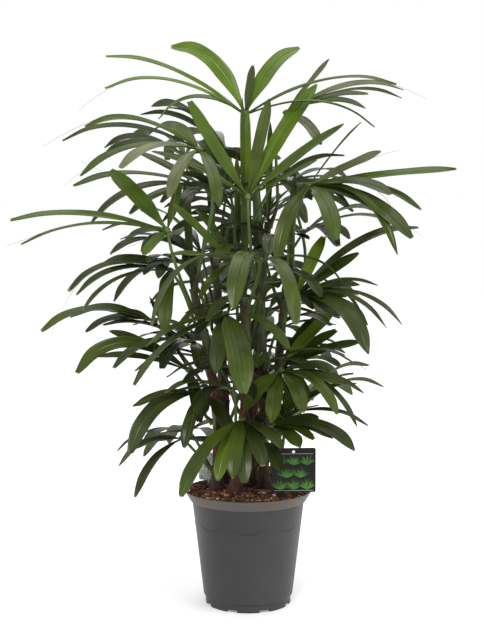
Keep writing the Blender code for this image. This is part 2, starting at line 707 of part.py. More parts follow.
def main():
    for obj in list(bpy.data.objects):
        bpy.data.objects.remove(obj)
    scene = bpy.context.scene.collection
    plant = bpy.data.collections.new("lady_palm")
    cutters = bpy.data.collections.new("cutters")
    scene.children.link(plant)
    scene.children.link(cutters)
    root = add_object("lady_palm_root", None, None, plant)
    make_pot(plant, cutters, root)
    make_soil(plant, cutters, root)
    for name, label in LABELS.items():
        make_label(name, label, plant, root)
    canes, fronds = grow()
    trees = {}
    for name, (points, radii) in canes.items():
        make_cane(name, points, radii, plant, root)
        mesh = tube_mesh(name, points, radii, CANE_BEVEL)
        trees[name] = tree_of(mesh)
        bpy.data.meshes.remove(mesh)
    owners = {name: frond.cane for name, frond in all_fronds().items()}
    for name, (hub, stalk, leaves) in fronds.items():
        make_frond("frond_" + name, hub, stalk, leaves, trees[owners[name]], plant, root)


if __name__ == "__main__":
    main()
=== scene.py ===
"""Lady palm in a plastic nursery pot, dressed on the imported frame.

Metres, +Z up. The origin is the centre of the pot's underside, and the viewer's side is -Y.
The fronds grow by the rule of the part's source, written again here. Each leaflet is then
carried on to a finer, ribbed blade on the same frames, so it keeps its place and its reach.
Finer fronds that the source doesn't have fill the inside of the clump.
"""

import math
import random
from collections import namedtuple

import bmesh
import bpy
from mathutils import Matrix, Quaternion, Vector, noise
from mathutils.bvhtree import BVHTree


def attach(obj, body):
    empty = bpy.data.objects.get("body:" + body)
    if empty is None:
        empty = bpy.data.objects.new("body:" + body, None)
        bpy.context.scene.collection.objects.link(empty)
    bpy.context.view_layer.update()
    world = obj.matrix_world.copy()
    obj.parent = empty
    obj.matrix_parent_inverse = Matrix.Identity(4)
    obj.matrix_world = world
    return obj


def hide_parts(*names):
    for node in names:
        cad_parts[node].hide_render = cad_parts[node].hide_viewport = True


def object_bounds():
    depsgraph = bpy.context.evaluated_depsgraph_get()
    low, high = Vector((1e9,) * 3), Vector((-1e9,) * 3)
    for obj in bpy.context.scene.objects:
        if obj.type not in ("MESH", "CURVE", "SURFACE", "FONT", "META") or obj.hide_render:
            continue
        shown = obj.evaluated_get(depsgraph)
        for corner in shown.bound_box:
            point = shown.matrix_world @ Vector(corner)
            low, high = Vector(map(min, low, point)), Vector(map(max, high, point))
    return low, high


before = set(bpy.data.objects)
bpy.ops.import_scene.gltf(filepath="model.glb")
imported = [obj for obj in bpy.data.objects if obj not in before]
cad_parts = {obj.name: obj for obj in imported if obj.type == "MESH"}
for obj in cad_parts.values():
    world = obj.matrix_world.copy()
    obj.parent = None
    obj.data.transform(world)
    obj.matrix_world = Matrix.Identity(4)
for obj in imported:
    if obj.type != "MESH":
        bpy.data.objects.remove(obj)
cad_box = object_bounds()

BODY = "root"
CM = 0.01
GAP = 0.0003
UP = Vector((0, 0, 1))
SEED = 21

# Pot: a 21 cm nursery pot with a flared lip and a foot ring that drains through notches.
POT_HEIGHT = 0.184
RIM_RADIUS = 0.1035
LIP_FOOT_RADIUS = 0.0935
LIP_HEIGHT = 0.017
BODY_TOP_RADIUS = 0.0908
BODY_FOOT_RADIUS = 0.0722
FOOT_RADIUS = 0.0690
FOOT_HEIGHT = 0.014
FOOT_RING = 0.006
PAD_RADIUS = 0.028
FLOOR_Z = 0.005
WALL = 0.0018
POT_STEPS = 176
NOTCH_COUNT = 8
NOTCH_WIDTH = 0.018
NOTCH_HEIGHT = 0.004

# Soil that fills the pot. The canes stand on its level middle.
SOIL_EDGE_Z = 0.1775
SOIL_TOP_Z = 0.1825
SOIL_LEVEL_RADIUS = 0.074

# Plant labels: a card on a stake. Card centre (x, y, z), card width and height, and turn.
LABEL_THICKNESS = 0.0014
STAKE_WIDTH = 0.010
STAKE_FOOT_Z = 0.145
Label = namedtuple("Label", "centre width height stake_shift turn")
LABELS = {
    "label_front": Label((0.071, -0.060, 0.226), 0.070, 0.070, -0.018, 4),
    "label_back": Label((-0.062, 0.036, 0.214), 0.040, 0.046, 0, -14),
}

# Canes: foot (x, y), top (x, y, z) and the sideways bow at mid height, in centimetres.
CANE_RINGS = 8
CANE_CUT = 0.003
CANE_RADIUS = 0.0075
CANE_TOP_RADIUS = 0.0055
CANE_FLARE = 0.0050
FLARE_HEIGHT = 0.035
Cane = namedtuple("Cane", "foot top bow")
CANES = {
    "front": Cane((-2.1, -2.4), (-0.5, -3.0, 50), (0.8, -0.6)),
    "left": Cane((-5.2, -0.2), (-9.0, 0.0, 51), (1.6, -0.3)),
    "middle": Cane((0.3, 2.4), (-1.5, 4.5, 56), (0.6, 0.2)),
    "tall": Cane((2.6, 0.2), (1.4, 0.4, 61), (0.3, 0.3)),
    "right": Cane((4.6, 3.4), (6.4, 1.5, 53), (-0.6, 0.4)),
    "back_left": Cane((-3.4, 4.6), (-6.0, 8.0, 60), (0.4, 0.2)),
    "back": Cane((0.8, 6.6), (3.4, 9.5, 62), (-0.5, 0.4)),
}

# Stalks and leaflets, in metres and degrees. Only LEAF_WIDTH is in centimetres, as the tables are.
STALK_POINTS = 6
STALK_RADIUS = 0.0030
STALK_TIP_RADIUS = 0.0022
CROWN_STALK_RADIUS = 0.0065
CROWN_TIP_RADIUS = 0.0035
LONG_LEAF = 0.15
LONG_RINGS = (0.0, 0.18, 0.38, 0.59, 0.80, 1.0)
SHORT_RINGS = (0.0, 0.22, 0.48, 0.74, 1.0)
LEAF_WIDTH = 2.65
LEAF_SHAPE = (0.15, 0.5, 0.45)
LEAF_THICKNESS = 0.0021
THICKNESS_SHARE = 0.0105
DROOP_SPAN = 0.20
CUP = 14
CUP_STEP = 5
TWIST = 0.92
BEND_STEPS = 6
STALK_REACH = 0.36

# Room that a stalk or a leaflet keeps to its neighbours, and what it tries to get it.
CLEARANCE = 0.0006
STALK_TURNS = (0, 20, -20, 40, -40, 65, -65, 90, -90)
STALK_SWAYS = (0.0, 0.012, -0.012, 0.024, -0.024)
LEAF_TRIES = ((0, 1, 0), (3, 1, 0), (-3, 1, 0), (0, 1, 20), (0, 1, -15), (6, 1, 0), (-6, 1, 0),
              (0, 0.85, 0), (5, 0.85, 20), (-5, 0.85, 20), (10, 0.9, 0), (-10, 0.9, 0),
              (0, 0.7, 0), (8, 0.7, 25), (-8, 0.7, 25), (14, 0.75, 0), (-14, 0.75, 0),
              (18, 0.7, 30), (-18, 0.7, 30), (0, 0.55, 0))

# A frond: its cane, the height in centimetres where its stalk leaves it, the hub in
# centimetres, the fan as (heading, lift, tilt) in degrees, and its leaflets as (bearing,
# length, droop) with a width where it isn't the usual one. Heading 0 is +X and 90 is away
# from the viewer, and tilt turns the upper side of the fan towards the viewer.
Frond = namedtuple("Frond", "cane foot_z hub fan leaves")
FRONDS = {
    "crown": Frond("tall", 61, (-0.5, -2, 78.7), (90, 62, 0), (
        (24, 18, 124, 3.1), (-22, 16.8, 86, 3.0), (-9, 8, 15, 1.4), (51, 25.5, 38, 1.7),
        (61, 23.5, 62, 1.8), (54, 16, 145, 2.1), (-64, 25, 50, 1.8), (-70, 22, 72, 2))),
    "upper_front": Frond("tall", 50, (-0.1, -6, 65.4), (90, 62, 0), (
        (36, 17.5, -15), (-25, 23, 5, 3.0), (-12, 16, 15, 2.1), (-48, 19.5, 15), (-66, 12, 10),
        (55, 17, 35), (71, 17, 8, 2.0))),
    "upper_left": Frond("left", 50, (-7.6, -8, 72.6), (180, 20, 30), (
        (0, 18.7, 84, 1.6), (0, 21.8, 66, 1.6), (46, 17.5, 72, 2.1), (31, 21, 64, 1.8),
        (-36, 11.5, 230, 3.6), (75, 13.5, 110, 2.2), (114, 14.5, 120, 2.2))),
    "left_broad": Frond("left", 46, (-12.5, -8, 60.2), (120, 50, 20), (
        (30, 12.7, 28, 3.6), (66, 24, 32, 2.3), (82, 24, 38, 1.0), (-28, 9, 20, 1.6),
        (130, 8, 60, 2.0))),
    "left_far": Frond("back_left", 54, (-7.1, 4, 67.5), (180, 12, 25), (
        (30, 24.5, 38, 2.0), (18, 21.5, 82, 2.3), (-8, 12.5, 25), (40, 16, 70, 2.3), (65, 13, 90),
        (-60, 14, 50))),
    "left_mid": Frond("left", 43, (-12.6, 0, 54.0), (180, 10, 25), (
        (-4, 11.5, 130), (10, 16.5, 100, 1.9), (14, 18.3, 102, 1.9), (30, 18, 94, 1.1), (90, 15, 170),
        (-25, 9, 120))),
    "left_low": Frond("left", 34, (-15.5, 4, 45.5), (180, 12, 20), (
        (14, 20, 82), (6, 12, 132, 2.9), (3, 14.5, 105), (-15, 8, 100))),
    "left_lower": Frond("left", 29, (-9.7, 0, 37.8), (180, 25, 35), (
        (-4, 21, 128, 2.9), (14, 15.3, 48, 1.5), (115, 11, 130, 2.4), (-6, 14.3, 42, 2.1),
        (6, 9, 40, 1.4), (-42, 15, 5, 1.2))),
    "left_upright": Frond("middle", 42, (-2.6, -7, 55.2), (140, 45, 20), (
        (19, 12.6, 20, 2.3), (-6, 12, 60, 1.8), (66, 12, 60, 1.4), (105, 10, 110, 1.4))),
    "front_left": Frond("front", 38, (-3.6, -10, 47.4), (250, -30, 0), (
        (-46, 14, 70), (-43, 18.5, 75, 2.8), (33, 19, 100, 4.2), (12, 13, 110), (70, 15, 100))),
    "front": Frond("front", 47, (1.7, -14, 55.5), (270, 5, 0), (
        (-14, 19.5, 150, 3.2), (20, 18.5, 165), (-62, 23, 138), (-95, 11, 20), (88, 14.5, 150))),
    "right_low": Frond("right", 29, (5, -10, 38.6), (330, 0, 30), (
        (-95, 11, 110, 2.8), (-72, 11, 140), (-40, 12, 140), (-12, 12.9, 30, 2.2), (10, 8, 110, 1.5),
        (2, 14.5, 75, 1.0), (-20, 15.5, 108, 2.0), (-8, 17, 113, 1.1))),
    "right_lowest": Frond("right", 23, (3.7, -6, 29.7), (0, 12, 25), (
        (-24, 15.5, 108, 2.8), (-24, 10.5, 90, 1.6), (-40, 9, 120, 1.8), (-4, 7.5, 60), (-60, 9, 110),
        (50, 9, 60))),
    "front_low": Frond("front", 24, (-1, -12, 31.5), (262, -30, 0), (
        (-27, 18.5, 75, 3.0), (-15, 12, 130), (0, 12.5, 140), (10, 12, 140), (50, 10, 105),
        (30, 10, 130))),
    "left_bottom": Frond("left", 26, (-6.6, -6, 34.6), (180, 20, 25), (
        (42, 15.5, 58, 1.4), (32, 12.5, 72, 1.5), (43, 19.5, 120, 3.2), (75, 12, 160, 2.2),
        (85, 7, 150, 2.8), (130, 10, 130))),
    "left_lowest": Frond("left", 21.5, (-10.6, -2, 27), (180, 0, 20), (
        (24, 8.6, 112, 2.0), (55, 14.5, 112, 1.7), (150, 6.5, 80, 2.0))),
    "upper_right": Frond("back", 61, (6.3, 6, 80), (10, 25, 30), (
        (20, 12, 10, 1.3), (1, 21, 62, 1.9), (-26, 20.5, 60, 0.9), (-12, 14, 60, 2.0),
        (-35, 15, 78, 1.8), (-78, 12, 75, 2.2))),
    "right_high": Frond("right", 52, (9.4, -6, 67.2), (350, 12, 35), (
        (-66, 15.5, 115, 3.0), (-40, 22.5, 47, 3.2), (-3, 12.5, 14, 2.8), (-20, 24, 8, 2.4),
        (-30, 16.5, 55), (-18, 19.5, 62, 1.5), (47, 14, 30, 0.8), (-120, 15, 150),
        (-38, 23.5, 92, 1.4))),
    "right_mid": Frond("right", 41, (7.4, -6, 50.0), (350, 20, 30), (
        (25, 23, 60, 2.1), (20, 12, 20), (52, 11.5, 10), (-7, 10.5, 75, 2.3), (-16, 15, 72, 1.0),
        (-42, 10.5, 100, 3.0), (-43, 21, 98, 3.1), (-18, 19.5, 88, 0.9), (-36, 21, 70, 0.9),
        (-22, 9, 90, 2.0))),
    "right_lower": Frond("right", 32, (5.4, -2, 38.9), (20, 22, 25), (
        (-30, 13.2, 30, 3.0), (5, 11, 20), (14, 12.5, 22, 2.8), (32, 12, 20), (-52, 9, 105, 1.8),
        (-90, 10, 125))),
}

# Fronds inside the clump, whose leaflets follow a rule.
INNER_FRONDS = {
    "inner_upper": Frond("middle", 54, (-2.5, 1, 64), (255, 35, 0), ()),
    "inner_left": Frond("back_left", 45, (-9.5, 3, 57), (200, 20, 10), ()),
    "inner_right": Frond("back", 50, (9, 3, 60), (335, 20, 10), ()),
    "inner_middle": Frond("middle", 40, (2, -2, 49), (290, 15, 0), ()),
    "inner_low_left": Frond("back_left", 32, (-9, 3, 42), (205, 10, 10), ()),
    "inner_low": Frond("middle", 27, (-1, -2, 38), (260, 10, 0), ()),
}

# The side that faces away carries as much: this many fronds climb it in turn round the clump,
# each a step further round than the one below it. Heights and reaches are in centimetres.
BACK_COUNT = 15
BACK_CANES = ("back", "back_left", "right", "middle", "back_left", "back", "left")
BACK_LOW, BACK_HIGH = 29, 76
BACK_START, BACK_ARC, BACK_STEP = 50, 80, 97
BACK_RISE = 12
BACK_REACH = (7.5, 10.5)
BACK_LIFT = (8, 30)
BACK_TILT = -25

# Their stalks, and those inside, leave no lower than this and at least so far below a cane's top.
FOOT_LOW = 21
BELOW_TOP = 2

# Fronds whose leaflets follow a rule: how many, over what angle, and their sizes.
Rule = namedtuple("Rule", "count spread long short")
INNER_RULE = Rule(6, 140, 17, 12)
BACK_RULE = Rule(7, 120, 20, 14)
RULE_DROOP = (65, 105)
OUTER_DROOP = 25

# Finer fronds, grown when all the others have, fill the clump's inside.
FILL_SEED = 8
FILL_COUNT = 34
FILL_LOW, FILL_HIGH = 26, 70
FILL_TURN = 137.5
FILL_REACH = (1.5, 6.5)
FILL_LIFT = (-15, 25)
FILL_TILT = 0
FILL_RISE = 9
FILL_RULE = Rule(7, 200, 15, 11)


def unit(azimuth, elevation):
    """The direction at these angles, in degrees."""
    a, e = math.radians(azimuth), math.radians(elevation)
    return Vector((math.cos(a) * math.cos(e), math.sin(a) * math.cos(e), math.sin(e)))


def polar(radius, angle, z=0.0):
    """The point at this distance from the pot's axis, angle in radians and height."""
    return Vector((radius * math.cos(angle), radius * math.sin(angle), z))


def around(count):
    """Angles evenly round a circle."""
    return [2 * math.pi * k / count for k in range(count)]


def shares(steps):
    """Shares of a whole from 0 to 1, in even steps."""
    return [i / steps for i in range(steps + 1)]


def smooth(t):
    """A share that starts and ends level."""
    t = max(0.0, min(1.0, t))
    return t * t * (3 - 2 * t)


def cane_point(cane, z):
    """The middle of a cane at a height."""
    foot = Vector((cane.foot[0], cane.foot[1], 0)) * CM
    top = Vector(cane.top) * CM
    t = (z - SOIL_TOP_Z) / (top.z - SOIL_TOP_Z)
    bow = Vector((cane.bow[0], cane.bow[1], 0)) * CM * 4 * t * (1 - t)
    return Vector((foot.x + (top.x - foot.x) * t + bow.x, foot.y + (top.y - foot.y) * t + bow.y, z))


def cane_radius(cane, z):
    """A cane's radius at a height; it tapers up from a flared foot."""
    t = (z - SOIL_TOP_Z) / (cane.top[2] * CM - SOIL_TOP_Z)
    flare = CANE_FLARE * (1 - smooth((z - SOIL_TOP_Z) / FLARE_HEIGHT))
    return CANE_RADIUS + (CANE_TOP_RADIUS - CANE_RADIUS) * t + flare


def width_share(t, root, full_at, narrowing):
    """Share of the full width along a leaflet: a narrow root, even sides and a blunt tip."""
    return (root + (1 - root) * smooth(t / full_at)) * (1 - narrowing * smooth((t - 0.76) / 0.24))


def fan_axes(heading, lift, tilt):
    """The middle direction of a fan, the normal of its upper side and the way that it faces."""
    forward = unit(heading, lift)
    facing = unit(-90, 90 - tilt)
    normal = (facing - forward * facing.dot(forward)).normalized()
    return forward, normal, facing


def leaf_path(hub, axes, bearing, length, droop, cup, stations):
    """Points, side vectors and upper normals along a leaflet that its weight bends down."""
    forward, normal, facing = axes
    b, c = math.radians(bearing), math.radians(cup)
    out = forward * math.cos(b) + normal.cross(forward) * math.sin(b)
    heading = (out * math.cos(c) + normal * math.sin(c)).normalized()
    upper = (normal * math.cos(c) - out * math.sin(c)).normalized()
    level = 1 - heading.z ** 2
    skyward = (facing - heading * heading.dot(facing)).normalized()
    upper = upper.lerp(skyward, level * TWIST)
    upper = (upper - heading * upper.dot(heading)).normalized()
    point = hub.copy()
    frames, done = [], 0.0
    for station in stations:
        span = (station - done) * length
        for _ in range(BEND_STEPS):
            ds = span / BEND_STEPS
            turn = math.radians(droop) * ds / DROOP_SPAN * math.hypot(heading.x, heading.y)
            turn *= 0.4 + 1.2 * done
            axis = heading.cross(-UP)
            if axis.length > 1e-6:
                bend = Quaternion(axis.normalized(), turn)
                heading.rotate(bend)
                upper.rotate(bend)
            point = point + heading * ds
        done = station
        frames.append((point.copy(), heading.cross(upper).normalized(), upper.copy()))
    return frames


def leaf_sections(frames, stations, width, thickness, grow=0.0):
    """Three corners at each station: the two edges and the keel under the rib."""
    sections = []
    for (point, side, upper), t in zip(frames, stations):
        half = width * width_share(t, *LEAF_SHAPE) / 2 + grow
        top = point + upper * grow
        keel = point - upper * (thickness * (1 - 0.35 * t) + grow)
        sections.append((top - side * half, top + side * half, keel))
    return sections


def tube_sections(points, radii, grow=0.0, sides=6, swell=None):
    """Rings round a line of points; swell moves each corner out by (place, angle)."""
    sections = []
    side = (points[1] - points[0]).orthogonal()
    for i, point in enumerate(points):
        along = (points[min(i + 1, len(points) - 1)] - points[max(i - 1, 0)]).normalized()
        side = (side - along * side.dot(along)).normalized()
        across = along.cross(side)
        ring = []
        for a in around(sides):
            reach = radii[i] + grow + (swell(i, a) if swell else 0.0)
            ring.append(point + (side * math.cos(a) + across * math.sin(a)) * reach)
        sections.append(ring)
    return sections


def skin(sections):
    """Corners and faces of a closed skin over rings of equal count, its two caps last."""
    sides, last = len(sections[0]), (len(sections) - 1) * len(sections[0])
    faces = []
    for near in range(0, last, sides):
        far = near + sides
        for k in range(sides):
            j = (k + 1) % sides
            faces.append((near + k, near + j, far + j, far + k))
    faces.append(tuple(range(sides - 1, -1, -1)))
    faces.append(tuple(range(last, last + sides)))
    return [corner for section in sections for corner in section], faces


def skin_tree(sections):
    """A search tree of a closed skin, for finding what it would touch."""
    corners, faces = skin(sections)
    bm = bmesh.new()
    verts = [bm.verts.new(corner) for corner in corners]
    for face in faces:
        bm.faces.new([verts[i] for i in face])
    bmesh.ops.triangulate(bm, faces=bm.faces[:])
    tree = BVHTree.FromBMesh(bm)
    bm.free()
    return tree


def stalk_line(cane, frond, turn, sway):
    """A stalk's points from its cane to its hub, and its radius at each of them."""
    hub = Vector(frond.hub) * CM
    forward = unit(*frond.fan[:2])
    top = cane.top[2] * CM
    from_top = frond.foot_z * CM >= top
    if from_top:
        radius, tip_radius = CROWN_STALK_RADIUS, CROWN_TIP_RADIUS
        start = cane_point(cane, top) + UP * GAP
        leave = unit(turn, 88)
    else:
        radius, tip_radius = STALK_RADIUS, STALK_TIP_RADIUS
        middle = cane_point(cane, frond.foot_z * CM)
        away = Vector((hub.x - middle.x, hub.y - middle.y, 0)).normalized()
        away.rotate(Quaternion(UP, math.radians(turn)))
        start = middle + away * (cane_radius(cane, middle.z) + GAP + 1.05 * radius)
        leave = (UP + away * 0.75).normalized()
    reach = (hub - start).length * STALK_REACH
    aside = (hub - start).cross(UP).normalized() * sway
    first = start + leave * reach + aside
    second = hub - (forward + UP).normalized() * reach + aside
    points, radii = [], []
    for t in shares(STALK_POINTS - 1):
        s = 1 - t
        points.append(start * s ** 3 + first * 3 * s * s * t + second * 3 * s * t * t + hub * t ** 3)
        radii.append(radius + (tip_radius - radius) * t)
    if from_top:
        points.insert(1, start + UP * CANE_CUT)
        radii.insert(1, radius)
    return points, radii


def ruled_leaves(rng, rule):
    """Leaflets dealt out evenly over a fan, the outer ones shorter and more bent."""
    leaves = []
    for i in range(rule.count):
        bearing = rule.spread * (i / (rule.count - 1) - 0.5) + rng.uniform(-5, 5)
        outer = abs(bearing) / (rule.spread / 2)
        length = rule.long + (rule.short - rule.long) * outer ** 2 + rng.uniform(-1.5, 1.5)
        leaves.append((bearing, length, rng.uniform(*RULE_DROOP) + OUTER_DROOP * outer))
    return tuple(leaves)


def ruled_frond(rng, i, cane_name, heading, hub_z, rise, reach, lift, tilt, rule):
    """A frond that stands out from its cane at a heading, its stalk leaving below the cane's top."""
    cane = CANES[cane_name]
    foot_z = max(min(hub_z - rise, cane.top[2] - BELOW_TOP - i % 3), FOOT_LOW)
    foot = cane_point(cane, foot_z * CM) / CM
    out = unit(heading, 0) * rng.uniform(*reach)
    hub = (foot.x + out.x, foot.y + out.y, min(hub_z, foot_z + 3 * rise))
    return Frond(cane_name, foot_z, hub, (heading, rng.uniform(*lift), tilt), ruled_leaves(rng, rule))


def all_fronds():
    """The fronds of the table, then those inside the clump, then those behind it."""
    rng = random.Random(SEED)
    fronds = dict(FRONDS)
    for name, frond in INNER_FRONDS.items():
        fronds[name] = frond._replace(leaves=ruled_leaves(rng, INNER_RULE))
    for i, climb in enumerate(shares(BACK_COUNT - 1)):
        heading = BACK_START + (i * BACK_STEP) % BACK_ARC + rng.uniform(-6, 6)
        hub_z = BACK_LOW + (BACK_HIGH - BACK_LOW) * climb + rng.uniform(-1.5, 1.5)
        fronds[f"back_{i + 1}"] = ruled_frond(rng, i, BACK_CANES[i % len(BACK_CANES)], heading, hub_z,
                                              BACK_RISE, BACK_REACH, BACK_LIFT, BACK_TILT, BACK_RULE)
    return fronds


def fill_fronds():
    """The finer fronds of the clump's inside, each a golden angle on from the one below."""
    rng = random.Random(FILL_SEED)
    fronds = {}
    for i, climb in enumerate(shares(FILL_COUNT - 1)):
        hub_z = FILL_LOW + (FILL_HIGH - FILL_LOW) * climb
        fronds[f"fill_{i + 1}"] = ruled_frond(rng, i, list(CANES)[i % len(CANES)], i * FILL_TURN % 360, hub_z,
                                              FILL_RISE, FILL_REACH, FILL_LIFT, FILL_TILT, FILL_RULE)
    return fronds


# A leaflet that has grown, and a frond with its stalk's points and radii and its leaflets.
Guide = namedtuple("Guide", "frames stations width thickness")
Grown = namedtuple("Grown", "hub axes cane stalk guides")


class Growth:
    """What has grown so far, so that nothing new touches it."""

    def __init__(self):
        self.trees = []

    def add(self, owner, sections):
        self.trees.append((owner, skin_tree(sections)))

    def free(self, owner, sections):
        tree = skin_tree(sections)
        return not any(other != owner and grown.overlap(tree) for other, grown in self.trees)


def grow_stalk(growth, name, frond):
    """The first of the tries that touches nothing."""
    cane = CANES[frond.cane]
    for sway in STALK_SWAYS:
        for turn in STALK_TURNS:
            points, radii = stalk_line(cane, frond, turn, sway)
            if growth.free(name, tube_sections(points, radii, grow=CLEARANCE)):
                growth.add(name, tube_sections(points, radii))
                return points, radii
    return None


def grow_leaf(growth, name, hub, axes, leaf, cup):
    """The first of the tries that touches nothing, as a guide for a finer blade."""
    bearing, length, droop = leaf[:3]
    width = (leaf[3] if len(leaf) > 3 else LEAF_WIDTH) * CM
    for turn, share, sag in LEAF_TRIES:
        span = length * share * CM
        stations = LONG_RINGS if span >= LONG_LEAF else SHORT_RINGS
        thickness = max(LEAF_THICKNESS, span * THICKNESS_SHARE)
        frames = leaf_path(hub, axes, bearing + turn, span, droop + sag, cup, stations)
        if growth.free(name, leaf_sections(frames, stations, width, thickness, grow=CLEARANCE)):
            growth.add(name, leaf_sections(frames, stations, width, thickness))
            return Guide(frames, stations, width, thickness)
    return None


def cane_line(cane):
    """A cane's points and radii from a level cut on the soil to its top."""
    foot_z, top_z = SOIL_TOP_Z + GAP, cane.top[2] * CM
    foot = cane_point(cane, foot_z)
    points, radii = [foot], [cane_radius(cane, foot_z)]
    for i in range(CANE_RINGS):
        z = foot_z + CANE_CUT + (top_z - foot_z - CANE_CUT) * (i / (CANE_RINGS - 1)) ** 1.4
        point = cane_point(cane, z)
        if i == 0:
            point.xy = foot.xy
        points.append(point)
        radii.append(cane_radius(cane, z))
    return points, radii


def grow():
    """Everything that grows: the canes, all the stalks, the leaflets, and last the finer fronds."""
    growth = Growth()
    for name, cane in CANES.items():
        growth.add(name, tube_sections(*cane_line(cane), sides=12))
    for name, label in LABELS.items():
        growth.add(name, card_corners(label))
    fronds = all_fronds()
    stalks = {name: grow_stalk(growth, name, frond) for name, frond in fronds.items()}
    grown = {}
    for name, frond in fronds.items():
        if stalks[name] is not None:
            grown[name] = grow_fan(growth, name, frond, stalks[name])
    for name, frond in fill_fronds().items():
        stalk = grow_stalk(growth, name, frond)
        if stalk is not None:
            grown[name] = grow_fan(growth, name, frond, stalk)
    return grown


def grow_fan(growth, name, frond, stalk):
    """A grown frond, with the guides of the leaflets that found room."""
    hub, axes = Vector(frond.hub) * CM, fan_axes(*frond.fan)
    guides = {}
    for i, leaf in enumerate(frond.leaves):
        guide = grow_leaf(growth, name, hub, axes, leaf, CUP + CUP_STEP * (-1) ** i)
        if guide:
            guides[i] = guide
    return Grown(hub, axes, CANES[frond.cane], stalk, guides)


def card_corners(label):
    """The two faces of a label's card, as rings."""
    across = unit(label.turn, 0) * label.width / 2
    through = unit(label.turn + 90, 0) * LABEL_THICKNESS / 2
    rise = UP * label.height / 2
    centre = Vector(label.centre)
    face = [centre - across - rise, centre + across - rise, centre + across + rise, centre - across + rise]
    return [[p - through for p in face], [p + through for p in face]]


# The finer meshes.
CANE_SIDES = 28
CANE_STEP = 0.0035
CANE_SUNK = 0.004
STALK_SIDES = 10
STALK_STEPS = 26
PLEATS = 5
PLEAT_SHARE = 0.10
BLADE_THICKNESS = 0.00040
BLADE_SHAPE = (0.16, 0.44, 0.34)
BLADE_SHARE = 0.88
TOOTH = 0.0022
SHARP_ANGLE = 50
CORNER_STEPS = 4
BODY_ROWS, TIP_ROWS = 20, 7
EDGE_WAVE = (0.0003, 0.0009)
# A blade narrows from the start of its tip, slender ones more, and slivers are narrower throughout.
TIP_START, TIP_TAPER, TIP_POWER = 0.84, (0.35, 0.90), 2.4
SLENDER_WIDTH, SLENDER_TAPER = 0.0135, 0.95
SLIVER_WIDTH, SLIVER_SHARE = 0.0085, 0.42
# Half sizes of a hub: along its fan, across it and through it.
HUB_HALVES, HUB_LUMP = (0.0066, 0.0054, 0.0040), 0.12

# Leaf tones, each as a lighter and a darker green that its patches wander between. The tones are
# partly the leaves' own greens and partly painted light and shade: the first is the crown's green made
# lighter with painted light from above, and the one that inner and fill fronds take is painted shade.
TONES = {
    # Painted light: the crown's green, made lighter where light falls from above.
    "bright_and_lit": ((0.090, 0.152, 0.008), (0.057, 0.105, 0.006)),
    "fresh": ((0.063, 0.103, 0.009), (0.043, 0.072, 0.007)),
    "mid": ((0.054, 0.080, 0.009), (0.034, 0.051, 0.006)),
    "dark": ((0.047, 0.062, 0.014), (0.031, 0.042, 0.010)),
    # Painted shade: a dark green darkened further for leaflets inside the clump.
    "deep_shade": ((0.016, 0.024, 0.004), (0.008, 0.013, 0.003)),
    "olive": ((0.118, 0.128, 0.054), (0.078, 0.088, 0.036)),
    "yellow": ((0.150, 0.215, 0.020), (0.095, 0.150, 0.014)),
}
# Groove strips are darker by this share: the leaves' vein lines, and painted shade on one slope of each
# pleat.
GROOVE_VEIN_AND_SHADE = 0.82

# Tones by frond, the usual one first; some leaflets have one of their own. The crown and the upper
# front wear the green that is partly painted light from above.
USUAL_TONES = ("mid", "dark")
FROND_TONES = {
    "crown": ("bright_and_lit", "fresh"), "upper_front": ("fresh", "bright_and_lit"), "upper_left": ("mid", "olive"),
    "left_broad": ("fresh", "mid"), "left_far": ("dark", "mid"), "left_lower": ("dark", "mid"),
    "left_upright": ("mid", "fresh"), "left_bottom": ("dark", "mid"), "left_lowest": ("dark", "mid"),
    "upper_right": ("olive", "mid"), "right_mid": ("dark", "mid"),
}
# Inner and fill fronds take the darker tones, with painted shade for the inside of the clump.
INNER_TONES = ("deep_shade", "dark")
FILL_TONES = ("dark", "deep_shade", "mid")
BACK_TONES = ("dark", "mid", "olive", "mid")
LEAF_TONES = {
    ("crown", 2): "dark", ("upper_front", 1): "bright_and_lit", ("upper_front", 2): "mid",
    ("front_low", 1): "yellow", ("right_mid", 2): "yellow", ("right_lower", 2): "yellow",
    ("right_high", 3): "fresh", ("right_high", 2): "olive",
    ("front", 3): "olive", ("upper_front", 4): "fresh",
}
FIRST_TONE_SHARE = 0.68
UNDERSIDE = ((0.066, 0.083, 0.026), (0.042, 0.056, 0.017))
TIP_SHARE = 0.24
LEAF_GLOSS = 0.18

# Folded young leaves that stand upright: three beside the crown's stalk, as foot, tip, width
# and tone, and one on each lower cane's top.
SPEARS = (((-0.006, -0.024, 0.550), (-0.0096, -0.026, 0.812), 0.0100, "fresh"),
          ((-0.001, -0.027, 0.550), (-0.0004, -0.030, 0.800), 0.0096, "bright_and_lit"),
          ((0.003, -0.022, 0.550), (0.0030, -0.023, 0.775), 0.0070, "mid"))
YOUNG_SUNK = 0.02
YOUNG_HEIGHT = 0.17
YOUNG_LEAN = 0.012
YOUNG_WIDTH = 0.0125

# Heights where the leaflet pieces divide and where the canes turn green, and the seeds.
UPPER_Z, MIDDLE_Z, GREEN_Z = 0.62, 0.45, 0.40
LEAF_SEED, CANE_SEED, SOIL_SEED, LABEL_SEED, THREAD_SEED = 3, 5, 6, 7, 9

# Fibres that trail from leaflet edges.
THREAD_SHARE, THREAD_STEPS, THREAD_RADIUS = 0.12, 9, 0.00036
THREAD_START, THREAD_ASIDE = 0.86, 0.36
THREAD_LENGTH, THREAD_STRAY, THREAD_SAG = (0.04, 0.09), 0.35, 0.3

